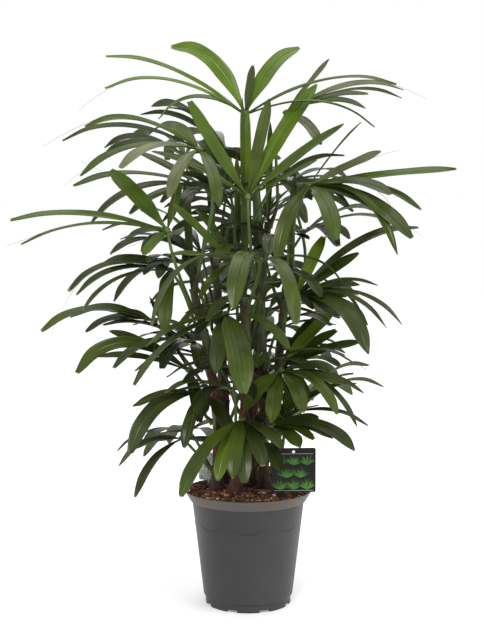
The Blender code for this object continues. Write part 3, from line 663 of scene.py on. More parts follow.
# The relief of stalks and canes: sheaths, fibre weave, lumps, root bulges and loose strands.
SHEATH_SHARE, SHEATH_SWELL, SHEATH_LEAN = 0.16, 0.7, 0.35
SHEATH_PITCH, SHEATH_EDGE = 0.036, 0.0009
WEAVE, WEAVE_SUNK, LUMPS, RAGS = 0.0010, 0.0004, 0.0010, 0.0007
ROOT_RISE, ROOT_BULGE = 0.022, 0.0026
STRANDS, FOOT_STRANDS, STRAND_STEPS = 46, 26, 7
STRAND_RISE, STRAND_WIND = (0.015, 0.045), 1.3
STRAND_OFF, STRAND_AWAY, STRAND_RADII = 0.0006, (0.0003, 0.0035), (0.0003, 0.0006)

# The faint line on the pot, and the mulch.
SCALLOPS, SCALLOP_STEPS = 8, 22
SCALLOP_Z, SCALLOP_DROP, SCALLOP_LINE = 0.137, 0.0085, 0.0008
SOIL_EDGE_RADIUS = 0.0983
SOIL_SKIRT = ((0.0885, 0.166), (0.0830, 0.120))
EDGE_HEAP = 0.9
BED_RINGS, BED_STEPS = 64, 190
CRUMBS, CRUMB_RADIUS = 3600, 0.0990
BIG_SHARE, BIG_SIZES, SMALL_SIZES = 0.16, (0.005, 0.010), (0.0016, 0.0045)
# The crumbs' tones, lighter and darker, each with its weight in the mix.
CRUMB_TONES = {
    "dark": ((0.060, 0.025, 0.015), (0.020, 0.009, 0.006), 36),
    "brown": ((0.150, 0.060, 0.032), (0.070, 0.028, 0.016), 26),
    "red": ((0.290, 0.110, 0.058), (0.150, 0.055, 0.030), 18),
    "tan": ((0.520, 0.270, 0.150), (0.300, 0.140, 0.080), 15),
    "pale": ((0.720, 0.600, 0.480), (0.480, 0.370, 0.270), 5),
}
FIBRES, FIBRE_RADIUS, FIBRE_STEPS = 520, 0.090, 6
FIBRE_LENGTHS, FIBRE_HUMPS, FIBRE_CURL = (0.006, 0.022), (0.0004, 0.0030), 2.2
FIBRE_WIDTHS = (0.00022, 0.00045)
TWIG_START, TWIG_STEP = (0.010, -0.030), (0.0075, 0.0010)
TWIG_RADII = (0.0011, 0.0012, 0.0012, 0.0011, 0.0011, 0.0010, 0.0009, 0.0006)

# The front card's print: rows of tufts as height and blade length, and lines across.
CARD_CORNER = 0.003
CARD_HOLE = 0.0021
CARD_DEPTHS = (-LABEL_THICKNESS / 2, LABEL_THICKNESS / 2)
PRINT_DEPTHS = (CARD_DEPTHS[0] - 0.00012, CARD_DEPTHS[0] + 0.0001)
TUFT_ROWS = ((-0.031, 0.020), (-0.012, 0.019), (0.008, 0.018))
TUFT_BLADES, TUFT_LEAN, TUFT_PITCH = 15, 64, 0.0215
TUFT_BLADE_WIDTH = 0.0005
LINE_HEIGHTS, LINE_WIDTH = (-0.0325, 0.0255), 0.0007

# The studio. A light has a name, its place, its aim, its size and its energy.
CAMERA_PLACE = (-0.010, -1.80, 0.56)
CAMERA_PITCH = 2.83
LENS = 64.3
WORLD_STRENGTH = 1.0
FLOOR_RADIUS = 14
FLOOR_GLOW = 0.22
LIGHTS = (("key", (-0.3, -2.0, 2.2), (0, 0, 0.5), 0.5, 24),
          ("fill", (1.8, -1.1, 1.2), (0, 0, 0.5), 1.4, 14),
          ("top", (0.1, 0.3, 2.6), (0, 0, 0.5), 2.0, 16),
          ("back", (0.4, 1.9, 1.6), (0, 0, 0.5), 1.8, 6))


class Gathered:
    """Corners and faces of many small forms that become one piece."""

    def __init__(self):
        self.corners, self.faces, self.looks = [], [], []

    def add(self, corners, faces, looks):
        start = len(self.corners)
        self.corners.extend(corners)
        self.faces.extend(tuple(start + i for i in face) for face in faces)
        self.looks.extend(looks if isinstance(looks, list) else [looks] * len(faces))


def placed(name, data):
    """A new object of this data, in the scene."""
    obj = bpy.data.objects.new(name, data)
    bpy.context.scene.collection.objects.link(obj)
    return obj


def as_mesh(name, bm):
    """The mesh of a bmesh, which it frees."""
    mesh = bpy.data.meshes.new(name)
    bm.to_mesh(mesh)
    bm.free()
    return mesh


def piece(name, gathered, looks, nodes):
    """One visible piece that stands for these nodes and rides with the body."""
    mesh = bpy.data.meshes.new(name)
    mesh.from_pydata(gathered.corners, [], gathered.faces)
    for look in looks:
        mesh.materials.append(look)
    mesh.polygons.foreach_set("material_index", gathered.looks)
    mesh.polygons.foreach_set("use_smooth", [True] * len(mesh.polygons))
    mesh.set_sharp_from_angle(angle=math.radians(SHARP_ANGLE))
    obj = placed(name, mesh)
    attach(obj, BODY)
    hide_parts(*nodes)


def mottled(name, light, dark, roughness, scale, bump=0.0, bump_scale=400.0, stretch=(1, 1, 1),
            gloss=0.35):
    """A finish whose colour wanders between two tones, with a fine relief."""
    made = bpy.data.materials.new(name)
    made.use_nodes = True
    nodes, links = made.node_tree.nodes, made.node_tree.links

    def add(kind, **values):
        node = nodes.new("ShaderNode" + kind)
        for socket, value in values.items():
            node.inputs[socket.replace("_", " ")].default_value = value
        return node

    shader = nodes["Principled BSDF"]
    shader.inputs["Roughness"].default_value = roughness
    shader.inputs["Specular IOR Level"].default_value = gloss
    fit = add("Mapping", Scale=stretch)
    links.new(add("TexCoord").outputs["Object"], fit.inputs["Vector"])
    patches = add("TexNoise", Scale=scale, Detail=4)
    links.new(fit.outputs["Vector"], patches.inputs["Vector"])
    contrast = add("MapRange", From_Min=0.35, From_Max=0.65)
    links.new(patches.outputs["Fac"], contrast.inputs["Value"])
    blend = nodes.new("ShaderNodeMix")
    blend.data_type = "RGBA"
    blend.inputs["A"].default_value = (*dark, 1)
    blend.inputs["B"].default_value = (*light, 1)
    links.new(contrast.outputs["Result"], blend.inputs["Factor"])
    links.new(blend.outputs["Result"], shader.inputs["Base Color"])
    if bump:
        grain = add("TexNoise", Scale=bump_scale, Detail=3)
        links.new(fit.outputs["Vector"], grain.inputs["Vector"])
        relief = add("Bump", Distance=bump)
        links.new(grain.outputs["Fac"], relief.inputs["Height"])
        links.new(relief.outputs["Normal"], shader.inputs["Normal"])
    return made


def between(values, stations, t):
    """A smooth curve through values that are given at uneven stations."""
    last = len(stations) - 1
    i = min(max(sum(1 for s in stations if s <= t) - 1, 0), last - 1)
    span = stations[i + 1] - stations[i]

    def slope(k):
        a, b = max(k - 1, 0), min(k + 1, last)
        return (values[b] - values[a]) / (stations[b] - stations[a])

    u = (t - stations[i]) / span
    near, far = slope(i) * span, slope(i + 1) * span
    return (values[i] * (2 * u ** 3 - 3 * u * u + 1) + near * (u ** 3 - 2 * u * u + u)
            + values[i + 1] * (3 * u * u - 2 * u ** 3) + far * (u ** 3 - u * u))


def tube(points, radii, sides, swell=None):
    """A closed tube's corners and faces."""
    return skin(tube_sections(points, radii, 0.0, sides, swell))


def blade_rows():
    """Shares of a blade's length where its rows stand, closer together at the tip."""
    body = [TIP_START * i / BODY_ROWS for i in range(BODY_ROWS)]
    return body + [TIP_START + (1 - TIP_START) * i / TIP_ROWS for i in range(TIP_ROWS + 1)]


def blade_faces(tipped):
    """A blade's faces and looks: 0 ridges, 1 underside, 2 dry tip and 3 grooves of vein colour and painted
    shade.
    """
    strips = 2 * PLEATS
    steps = BODY_ROWS + TIP_ROWS
    wide, under = strips + 1, (strips + 1) * (steps + 1)
    faces, looks = [], []
    for row in range(steps):
        dry = tipped and row >= steps - 1
        for k in range(strips):
            a, b = row * wide + k, (row + 1) * wide + k
            faces.append((a, a + 1, b + 1, b))
            faces.append((under + a, under + b, under + b + 1, under + a + 1))
            # Every other strip takes the groove look: a darker vein colour and painted shade on that slope.
            looks += [2, 2] if dry else [0 if k % 2 else 3, 1]
        for k in (0, strips):
            a, b = row * wide + k, (row + 1) * wide + k
            face = (a, b, under + b, under + a)
            faces.append(face if k == 0 else face[::-1])
            looks.append(2 if dry else 0)
    for row in (0, steps):
        for k in range(strips):
            a = row * wide + k
            face = (a + 1, a, under + a, under + a + 1)
            faces.append(face if row == 0 else face[::-1])
            looks.append(2 if tipped and row else 0)
    return faces, looks


def blade_corners(guide, rng):
    """A ribbed blade on a leaflet's guide: a shallow keel, pleats and a ragged, narrow tip."""
    points, sides, uppers = zip(*guide.frames)
    strips = 2 * PLEATS
    rows = blade_rows()
    teeth = [rng.uniform(-1, 0.2) * TOOTH if k % 2 else rng.uniform(-0.2, 0.6) * TOOTH
             for k in range(strips + 1)]
    wave, phase = rng.uniform(*EDGE_WAVE), rng.uniform(0, 2 * math.pi)
    taper = rng.uniform(*TIP_TAPER)
    if guide.width < SLENDER_WIDTH:
        taper = SLENDER_TAPER
    share = SLIVER_SHARE if guide.width < SLIVER_WIDTH else BLADE_SHARE
    top, bottom = [], []
    for t in rows:
        point = between(points, guide.stations, t)
        upper = between(uppers, guide.stations, t).normalized()
        side = between(sides, guide.stations, t)
        side = (side - upper * side.dot(upper)).normalized()
        along = upper.cross(side)
        narrow = 1 - taper * max(0.0, (t - TIP_START) / (1 - TIP_START)) ** TIP_POWER
        half = guide.width * share * width_share(t, *BLADE_SHAPE) / 2 * narrow
        keel = guide.thickness * (1 - 0.35 * t)
        pleat = 2 * half / PLEATS * PLEAT_SHARE
        for k in range(strips + 1):
            u = 2 * k / strips - 1
            sink = keel * (1 - abs(u) ** 1.3)
            lift = pleat * (-1) ** k
            flutter = wave * abs(u) ** 3 * smooth(4 * t) * math.sin(9 * t + phase + 2 * u)
            corner = point + side * (u * half) + upper * (lift - sink + flutter)
            if t == rows[-1]:
                corner = corner + along * teeth[k]
            top.append(corner)
            bottom.append(corner - upper * BLADE_THICKNESS)
    return top + bottom


def leaf_tone(name, index, rng):
    """The tone of one leaflet: its own, or one of its frond's."""
    if (name, index) in LEAF_TONES:
        return LEAF_TONES[name, index]
    kind, _, number = name.partition("_")
    if kind == "fill":
        return rng.choice(FILL_TONES)
    tones = INNER_TONES if kind == "inner" else FROND_TONES.get(name, USUAL_TONES)
    if kind == "back":
        tones = BACK_TONES[int(number) % len(BACK_TONES)], "mid"
    return tones[0] if rng.random() < FIRST_TONE_SHARE else tones[1]


def frond_node(name):
    """The node that a frond stands for; a finer one inside belongs to an inner frond's."""
    if name.startswith("fill_"):
        return "frond_" + list(INNER_FRONDS)[int(name[5:]) % len(INNER_FRONDS)]
    return "frond_" + name


def frond_group(name, hub):
    """The joined piece that a frond belongs to."""
    if name.startswith("back_"):
        return "back"
    if name.startswith("fill_"):
        return "inner_low" if hub.z < MIDDLE_Z else "inner_high"
    if name.startswith("inner_") or hub.z < MIDDLE_Z:
        return "lower"
    return "upper" if hub.z >= UPPER_Z else "middle"


def young_leaves():
    """One folded young leaf upright on each lower cane's top, told as the spears are."""
    leaves = []
    for name, cane in CANES.items():
        if name != "tall":
            top = Vector(cane.top) * CM
            out = Vector((top.x, top.y, 0)).normalized()
            tip = top + UP * YOUNG_HEIGHT + out * YOUNG_LEAN
            leaves.append((top - UP * YOUNG_SUNK, tip, YOUNG_WIDTH, "mid"))
    return tuple(leaves)


def leaf_looks():
    """Finishes of leaflets: the ridges in every tone, the grooves darker with vein colour and painted
    shade, the underside and the dry tip.
    """
    looks = []
    # The groove copy of each tone is darkened: vein colour and painted shade.
    for kind, shade, roughness in (("leaf_", 1, 0.26), ("groove_vein_and_shade_", GROOVE_VEIN_AND_SHADE, 0.30)):
        for tone, pair in TONES.items():
            light, dark = ([shade * c for c in color] for color in pair)
            looks.append(mottled(kind + tone, light, dark, roughness, 22, 0.00008, 700, gloss=LEAF_GLOSS))
    looks.append(mottled("leaf_under", *UNDERSIDE, 0.50, 22, 0.00012, 700, gloss=LEAF_GLOSS))
    looks.append(mottled("leaf_tip", (0.20, 0.165, 0.060), (0.11, 0.080, 0.030), 0.7, 90))
    return looks


def add_blade(gathered, guide, tone, rng, may_dry=True):
    """Adds one leaflet, some of them with a dry tip."""
    corners = blade_corners(guide, rng)
    faces, kinds = blade_faces(may_dry and rng.random() < TIP_SHARE)
    ridge, count = list(TONES).index(tone), len(TONES)
    # Groove strips take the darker copy of the ridge's tone, which holds painted shade.
    numbers = (ridge, 2 * count, 2 * count + 1, count + ridge)
    gathered.add(corners, faces, [numbers[kind] for kind in kinds])


def make_leaflets(fronds):
    """All leaflets, joined in a few pieces by where their fronds stand."""
    rng = random.Random(LEAF_SEED)
    looks = leaf_looks()
    groups, nodes = {}, {}
    for name, frond in fronds.items():
        group = frond_group(name, frond.hub)
        gathered = groups.setdefault(group, Gathered())
        nodes.setdefault(group, set()).add(frond_node(name))
        for index, guide in frond.guides.items():
            add_blade(gathered, guide, leaf_tone(name, index, rng), rng)
    for foot, tip, width, tone in SPEARS + young_leaves():
        foot, tip = Vector(foot), Vector(tip)
        frames = [(foot.lerp(tip, t), Vector((1, 0, 0)), Vector((0, -1, 0))) for t in SHORT_RINGS]
        add_blade(groups["upper"], Guide(frames, SHORT_RINGS, width, LEAF_THICKNESS), tone, rng, False)
    for group, gathered in groups.items():
        piece("leaflets_" + group, gathered, looks, sorted(nodes[group]))


def make_threads(fronds):
    """Fine fibres that have split from leaflet edges and trail beyond the tips."""
    rng = random.Random(THREAD_SEED)
    gathered, nodes = Gathered(), set()
    radii = [THREAD_RADIUS * (1 - 0.5 * t) for t in shares(THREAD_STEPS)]
    for name, frond in fronds.items():
        for guide in frond.guides.values():
            points, sides, _ = zip(*guide.frames)
            along = (points[-1] - points[-2]).normalized()
            side = sides[-1] * rng.choice((-1, 1))
            length = rng.uniform(*THREAD_LENGTH)
            stray, sag = rng.uniform(0, THREAD_STRAY), rng.uniform(0, THREAD_SAG)
            start = between(points, guide.stations, THREAD_START) + side * guide.width * THREAD_ASIDE
            bend = side * stray - UP * sag
            line = [start + along * length * t + bend * length * t * t for t in shares(THREAD_STEPS)]
            inside = all(low <= v <= high for low, v, high in zip(cad_box[0], line[-1], cad_box[1]))
            if rng.random() < THREAD_SHARE and inside:
                gathered.add(*tube(line, radii, 4), 0)
                nodes.add(frond_node(name))
    looks = [mottled("thread", (0.130, 0.115, 0.062), (0.075, 0.068, 0.036), 0.7, 90)]
    piece("threads", gathered, looks, sorted(nodes))


def make_stalks(fronds):
    """Leaf stalks with their sheaths, and the small hubs that the leaflets spring from."""
    looks = [mottled("stalk_green", (0.074, 0.120, 0.020), (0.044, 0.078, 0.013), 0.42, 30,
                     0.0001, 600),
             mottled("stalk_foot", (0.090, 0.066, 0.028), (0.042, 0.032, 0.015), 0.7, 60,
                     0.0003, 500)]
    gathered = Gathered()
    for frond in fronds.values():
        points, radii = frond.stalk
        stations = shares(len(points) - 1)
        foot = cane_point(frond.cane, min(points[0].z, frond.cane.top[2] * CM))
        line, widths = [], []
        for t in shares(STALK_STEPS):
            point = between(points, stations, t)
            near = 1 - smooth(t / SHEATH_SHARE)
            inward = Vector((foot.x - point.x, foot.y - point.y, 0))
            line.append(point + inward * near * SHEATH_LEAN)
            widths.append(between(radii, stations, t) * (1 + SHEATH_SWELL * near))
        corners, faces = tube(line, widths, STALK_SIDES)
        kinds = [1 if k // STALK_SIDES < SHEATH_SHARE * STALK_STEPS else 0 for k in range(len(faces))]
        kinds[-2:] = [1, 0]
        gathered.add(corners, faces, kinds)
        gathered.add(*hub_form(frond.hub, frond.axes), 0)
    piece("stalks", gathered, looks, sorted({frond_node(name) for name in fronds}))


def hub_form(hub, axes):
    """A small boss, longer along the fan and flat across it."""
    forward, normal, _ = axes
    side = forward.cross(normal)
    long, wide, high = HUB_HALVES
    bm = bmesh.new()
    bmesh.ops.create_icosphere(bm, subdivisions=2, radius=1)
    corners = []
    for vert in bm.verts:
        x, y, z = vert.co
        lump = 1 + HUB_LUMP * noise.noise(vert.co * 2 + hub * 90)
        corners.append(hub + (forward * x * long + side * y * wide + normal * z * high) * lump)
    faces = [tuple(v.index for v in face.verts) for face in bm.faces]
    bm.free()
    return corners, faces


def cane_swell(name, line):
    """How far a cane's skin stands out at a ring and an angle: sheaths, fibres and root bulges."""
    seed = sum(map(ord, name))

    def swell(i, a):
        z = line[i].z
        climb = (z - SOIL_TOP_Z) / SHEATH_PITCH + 0.25 * math.sin(a + seed)
        sheath = SHEATH_EDGE * (climb % 1.0)
        weave = abs(math.sin(5 * a + 170 * z + seed)) * abs(math.sin(5 * a - 150 * z))
        lump = noise.noise(Vector((2 * math.cos(a), 2 * math.sin(a), 35 * z + seed)))
        low = max(0.0, 1 - (z - SOIL_TOP_Z) / ROOT_RISE)
        roots = low * ROOT_BULGE * max(0.0, math.sin(6 * a + seed + 40 * z))
        ragged = noise.noise(Vector((5 * math.cos(a), 5 * math.sin(a), 120 * z + seed)))
        return sheath + WEAVE * weave + LUMPS * lump + RAGS * ragged + roots

    return swell


def make_canes():
    """Canes in their fibrous sheaths, with loose strands over them."""
    rng = random.Random(CANE_SEED)
    looks = [mottled("cane_sheath", (0.078, 0.040, 0.023), (0.020, 0.011, 0.008), 0.86, 70,
                     0.0006, 420, (1, 1, 0.25)),
             mottled("cane_red", (0.150, 0.050, 0.027), (0.052, 0.019, 0.012), 0.80, 75,
                     0.0005, 420, (1, 1, 0.3)),
             mottled("cane_strand", (0.200, 0.120, 0.066), (0.085, 0.045, 0.025), 0.85, 120),
             mottled("cane_green", (0.075, 0.085, 0.030), (0.040, 0.048, 0.020), 0.70, 60,
                     0.0005, 420, (1, 1, 0.3))]
    gathered = Gathered()
    for name, cane in CANES.items():
        low, high = SOIL_TOP_Z - CANE_SUNK, cane_line(cane)[0][-1].z
        rings = math.ceil((high - low) / CANE_STEP)
        line = [cane_point(cane, low + (high - low) * i / rings) for i in range(rings + 1)]
        widths = [cane_radius(cane, max(p.z, SOIL_TOP_Z)) - WEAVE_SUNK for p in line]
        corners, faces = tube(line, widths, CANE_SIDES, cane_swell(name, line))
        kinds = []
        for k in range(len(faces)):
            z = line[min(k // CANE_SIDES, rings)].z
            patch = noise.noise(Vector((k % CANE_SIDES * 0.22, 22 * z, len(name))))
            kinds.append(3 if z + 0.04 * patch > GREEN_Z else 1 if patch > 0.12 else 0)
        gathered.add(corners, faces, kinds)
        for _ in range(STRANDS):
            gathered.add(*strand(cane, low + 0.006, high - 0.03, rng), 2)
        for _ in range(FOOT_STRANDS):
            gathered.add(*strand(cane, low + 0.004, low + 0.05, rng), 2)
    piece("canes", gathered, looks, ["cane_" + name for name in CANES])


def strand(cane, low, high, rng):
    """A thin fibre that winds up a cane, its end standing off a little."""
    z, turn = rng.uniform(low, high), rng.uniform(0, 2 * math.pi)
    rise, wind = rng.uniform(*STRAND_RISE), rng.uniform(-STRAND_WIND, STRAND_WIND)
    away = rng.uniform(*STRAND_AWAY)
    line = []
    for t in shares(STRAND_STEPS):
        height = z + rise * t
        reach = cane_radius(cane, height) + STRAND_OFF + away * t ** 3
        line.append(cane_point(cane, height) + polar(1, turn + wind * t) * reach)
    return tube(line, [rng.uniform(*STRAND_RADII)] * len(line), 3)


def spun(profile, steps):
    """A closed form turned round the pot's axis from a profile that starts and ends on it."""
    bm = bmesh.new()
    rings = []
    for r, z in profile:
        if r == 0:
            rings.append([bm.verts.new((0, 0, z))] * steps)
        else:
            rings.append([bm.verts.new(polar(r, a, z)) for a in around(steps)])
    for low, high in zip(rings, rings[1:]):
        for k in range(steps):
            j = (k + 1) % steps
            bm.faces.new(dict.fromkeys((low[k], low[j], high[j], high[k])))
    bmesh.ops.recalc_face_normals(bm, faces=bm.faces[:])
    return bm


def rounded(corner, before, after, radius):
    """Points that round a profile's corner."""
    corner, before, after = Vector(corner), Vector(before), Vector(after)
    start = corner + (before - corner).normalized() * radius
    end = corner + (after - corner).normalized() * radius
    return [tuple(start * (1 - t) ** 2 + corner * 2 * t * (1 - t) + end * t * t)
            for t in shares(CORNER_STEPS)]


def body_radius(z):
    """The pot's outer radius at a height between its foot and its lip."""
    share = (z - FOOT_HEIGHT) / (POT_HEIGHT - LIP_HEIGHT - FOOT_HEIGHT)
    return BODY_FOOT_RADIUS + (BODY_TOP_RADIUS - BODY_FOOT_RADIUS) * share


def pot_profile():
    """The CAD pot's section with its edges rounded."""
    lip_z = POT_HEIGHT - LIP_HEIGHT
    turns = [((RIM_RADIUS - WALL, POT_HEIGHT), 0.0006), ((RIM_RADIUS, POT_HEIGHT), 0.0009),
             ((LIP_FOOT_RADIUS, lip_z), 0.0009), ((BODY_TOP_RADIUS, lip_z), 0.0006),
             ((BODY_FOOT_RADIUS, FOOT_HEIGHT), 0.0022), ((FOOT_RADIUS, FOOT_HEIGHT - 0.002), 0.0012),
             ((FOOT_RADIUS, 0), 0.0012), ((FOOT_RADIUS - FOOT_RING, 0), 0.0008)]
    inner = [(0, FLOOR_Z + WALL), (FOOT_RADIUS - WALL, FLOOR_Z + WALL),
             (BODY_FOOT_RADIUS - WALL, FOOT_HEIGHT), (BODY_TOP_RADIUS - WALL, lip_z)]
    outer = [corner for corner, _ in turns]
    under = [(FOOT_RADIUS - FOOT_RING, FLOOR_Z), (PAD_RADIUS, FLOOR_Z), (PAD_RADIUS, 0), (0, 0)]
    whole = inner + outer + under
    profile = list(inner)
    for i, (corner, radius) in enumerate(turns):
        at = len(inner) + i
        profile += rounded(corner, whole[at - 1], whole[at + 1], radius)
    return profile + under


def scallops():
    """A faint raised line of shallow swags round the body, with gaps where they meet."""
    line = Gathered()
    radii = [SCALLOP_LINE * (0.35 + 0.65 * math.sin(math.pi * t)) for t in shares(SCALLOP_STEPS)]
    for n in range(SCALLOPS):
        start = 2 * math.pi * (n + 0.5) / SCALLOPS
        path = []
        for t in shares(SCALLOP_STEPS):
            z = SCALLOP_Z - SCALLOP_DROP * math.sin(math.pi * t)
            a = start + 2 * math.pi * (0.06 + 0.88 * t) / SCALLOPS
            path.append(polar(body_radius(z) - 0.0001, a, z))
        line.add(*tube(path, radii, 6), 0)
    return line.corners, line.faces


def make_pot():
    """The turned pot, with its drain notches cut out of the foot ring."""
    body = placed("pot_body", as_mesh("pot_body", spun(pot_profile(), POT_STEPS)))
    bm = bmesh.new()
    for i in range(NOTCH_COUNT):
        turn = math.radians(360 * (i + 0.5) / NOTCH_COUNT)
        place = Matrix.Rotation(turn, 4, "Z") @ Matrix.Translation((FOOT_RADIUS - FOOT_RING / 2, 0, 0))
        size = Matrix.Diagonal((3 * FOOT_RING, NOTCH_WIDTH, 2 * NOTCH_HEIGHT, 1))
        bmesh.ops.create_cube(bm, size=1, matrix=place @ size)
    cutter = placed("notches", as_mesh("notches", bm))
    notched = body.modifiers.new("Notches", "BOOLEAN")
    notched.operation = "DIFFERENCE"
    notched.solver = "EXACT"
    notched.object = cutter
    bpy.context.view_layer.update()
    cut = bpy.data.meshes.new_from_object(body.evaluated_get(bpy.context.evaluated_depsgraph_get()))
    gathered = Gathered()
    kinds = [1 if p.center.z > POT_HEIGHT - LIP_HEIGHT else 0 for p in cut.polygons]
    gathered.add([v.co.copy() for v in cut.vertices], [tuple(p.vertices) for p in cut.polygons], kinds)
    gathered.add(*scallops(), 0)
    for spare in (body, cutter):
        bpy.data.objects.remove(spare)
    looks = [mottled("pot_plastic", (0.036, 0.035, 0.034), (0.027, 0.026, 0.025), 0.46, 9, 0.00006, 900),
             mottled("pot_lip", (0.078, 0.076, 0.074), (0.080, 0.064, 0.052), 0.50, 26, 0.00006, 900)]
    piece("pot_shell", gathered, looks, ["pot"])


def soil_height(x, y):
    """The height of the mulch: its level, its slope to the wall and the lumps on it."""
    r = math.hypot(x, y)
    slope = smooth((r - SOIL_LEVEL_RADIUS) / (SOIL_EDGE_RADIUS - SOIL_LEVEL_RADIUS))
    level = SOIL_TOP_Z + (SOIL_EDGE_Z - SOIL_TOP_Z) * slope * (1 - EDGE_HEAP)
    lumps = 0.0020 * noise.noise(Vector((x, y, 0)) * 45)
    crumbs = 0.0012 * noise.noise(Vector((x, y, 3)) * 160) + 0.0007 * noise.noise(Vector((x, y, 7)) * 420)
    return level + lumps + crumbs


def chip(centre, size, rng, flat):
    """An irregular crumb or flake with eight corners."""
    spin = Quaternion((rng.gauss(0, 1), rng.gauss(0, 1), rng.gauss(0, 1), rng.gauss(0, 1))).normalized()
    if flat:
        spin = Quaternion(UP, rng.uniform(0, 6.28)) @ Quaternion((1, 0, 0), rng.gauss(0, 0.45))
    shape = (1, rng.uniform(0.45, 0.85), rng.uniform(0.18, 0.35) if flat else rng.uniform(0.4, 0.8))
    corners = []
    for signs in ((-1, -1, -1), (1, -1, -1), (1, 1, -1), (-1, 1, -1),
                  (-1, -1, 1), (1, -1, 1), (1, 1, 1), (-1, 1, 1)):
        corner = Vector([sign * rng.uniform(0.55, 1.1) * size / 2 * part for sign, part in zip(signs, shape)])
        corners.append(centre + spin @ corner)
    faces = [(0, 3, 2, 1), (4, 5, 6, 7), (0, 1, 5, 4), (1, 2, 6, 5), (2, 3, 7, 6), (3, 0, 4, 7)]
    return corners, faces


def make_bed():
    """The lumpy bed of mulch, closed by a skirt down inside the pot."""
    spots = [(SOIL_EDGE_RADIUS * i / BED_RINGS * math.cos(a), SOIL_EDGE_RADIUS * i / BED_RINGS * math.sin(a))
             for i in range(1, BED_RINGS + 1) for a in around(BED_STEPS)]
    corners = [Vector((x, y, soil_height(x, y))) for x, y in [(0, 0)] + spots]
    corners += [polar(r, a, z) for r, z in SOIL_SKIRT for a in around(BED_STEPS)]
    faces = []
    foot = 1 + (BED_RINGS + len(SOIL_SKIRT) - 1) * BED_STEPS
    for k in range(BED_STEPS):
        j = (k + 1) % BED_STEPS
        faces.append((0, 1 + k, 1 + j))
        for near in range(1, foot, BED_STEPS):
            far = near + BED_STEPS
            faces.append((near + k, far + k, far + j, near + j))
    faces.append(tuple(range(foot + BED_STEPS - 1, foot - 1, -1)))
    bed = Gathered()
    bed.add(corners, faces, 0)
    peat = mottled("mulch_bed", (0.090, 0.036, 0.020), (0.022, 0.010, 0.007), 0.95, 95, 0.0015, 300)
    piece("mulch_bed", bed, [peat], ["soil"])


def spread(rng, radius):
    """An angle and a distance from the axis, evenly over a disc."""
    return rng.uniform(0, 2 * math.pi), radius * math.sqrt(rng.random())


def make_crumbs(rng):
    """Crumbs and flakes of bark on the bed, smaller beside the lip."""
    looks = [mottled("crumb_" + name, light, dark, 0.9, 300, 0.0003, 900)
             for name, (light, dark, _) in CRUMB_TONES.items()]
    weights = [weight for _, _, weight in CRUMB_TONES.values()]
    crumbs = Gathered()
    for _ in range(CRUMBS):
        a, r = spread(rng, CRUMB_RADIUS)
        x, y = r * math.cos(a), r * math.sin(a)
        big = rng.random() < BIG_SHARE
        size = rng.uniform(*(BIG_SIZES if big else SMALL_SIZES))
        room = min(1.0, (CRUMB_RADIUS + 0.002 - r) / 0.006)
        z = soil_height(x, y) + size * rng.uniform(0.0, 0.35)
        look = rng.choices(range(len(looks)), weights)[0]
        corners, faces = chip(Vector((x, y, z)), size * max(room, 0.4), rng, big)
        crumbs.add(corners, faces, look)
    piece("mulch_crumbs", crumbs, looks, ["soil"])


def make_fibres(rng):
    """Loose curled fibres on the bed, and a twig."""
    fibres = Gathered()
    for _ in range(FIBRES):
        start = polar(*spread(rng, FIBRE_RADIUS)[::-1])
        heading, curl = rng.uniform(0, 2 * math.pi), rng.uniform(-FIBRE_CURL, FIBRE_CURL)
        length, hump = rng.uniform(*FIBRE_LENGTHS), rng.uniform(*FIBRE_HUMPS)
        line = []
        for t in shares(FIBRE_STEPS):
            spot = start + polar(1, heading + curl * t) * length * t
            spot.z = soil_height(spot.x, spot.y) + 0.0004 + hump * math.sin(math.pi * t)
            line.append(spot)
        if max(p.xy.length for p in line) < SOIL_EDGE_RADIUS - 0.001:
            widths = [rng.uniform(*FIBRE_WIDTHS)] * len(line)
            fibres.add(*tube(line, widths, 3), rng.choice((0, 0, 1)))
    twig = []
    for i in range(len(TWIG_RADII)):
        x, y = (start + step * i for start, step in zip(TWIG_START, TWIG_STEP))
        twig.append(Vector((x, y, soil_height(x, y) + 0.003 + 0.0012 * math.sin(90 * x))))
    fibres.add(*tube(twig, TWIG_RADII, 6), 0)
    strands = [mottled("fibre_tan", (0.420, 0.230, 0.130), (0.220, 0.110, 0.062), 0.85, 200),
               mottled("fibre_brown", (0.160, 0.070, 0.040), (0.070, 0.030, 0.018), 0.85, 200)]
    piece("mulch_fibres", fibres, strands, ["soil"])


def make_soil():
    """The mulch: its bed, the bark on it and the fibres among the bark."""
    rng = random.Random(SOIL_SEED)
    make_bed()
    make_crumbs(rng)
    make_fibres(rng)


def plate(bm, outline, holes, low, high):
    """A flat plate in the XZ plane with round holes, between two depths."""
    edges = []
    for ring in (outline, *holes):
        verts = [bm.verts.new((x, low, z)) for x, z in ring]
        edges += [bm.edges.new((a, b)) for a, b in zip(verts, verts[1:] + verts[:1])]
    filled = bmesh.ops.triangle_fill(bm, use_beauty=True, edges=edges)
    faces = [g for g in filled["geom"] if isinstance(g, bmesh.types.BMFace)]
    pushed = bmesh.ops.extrude_face_region(bm, geom=faces)
    moved = [v for v in pushed["geom"] if isinstance(v, bmesh.types.BMVert)]
    bmesh.ops.translate(bm, verts=moved, vec=(0, high - low, 0))


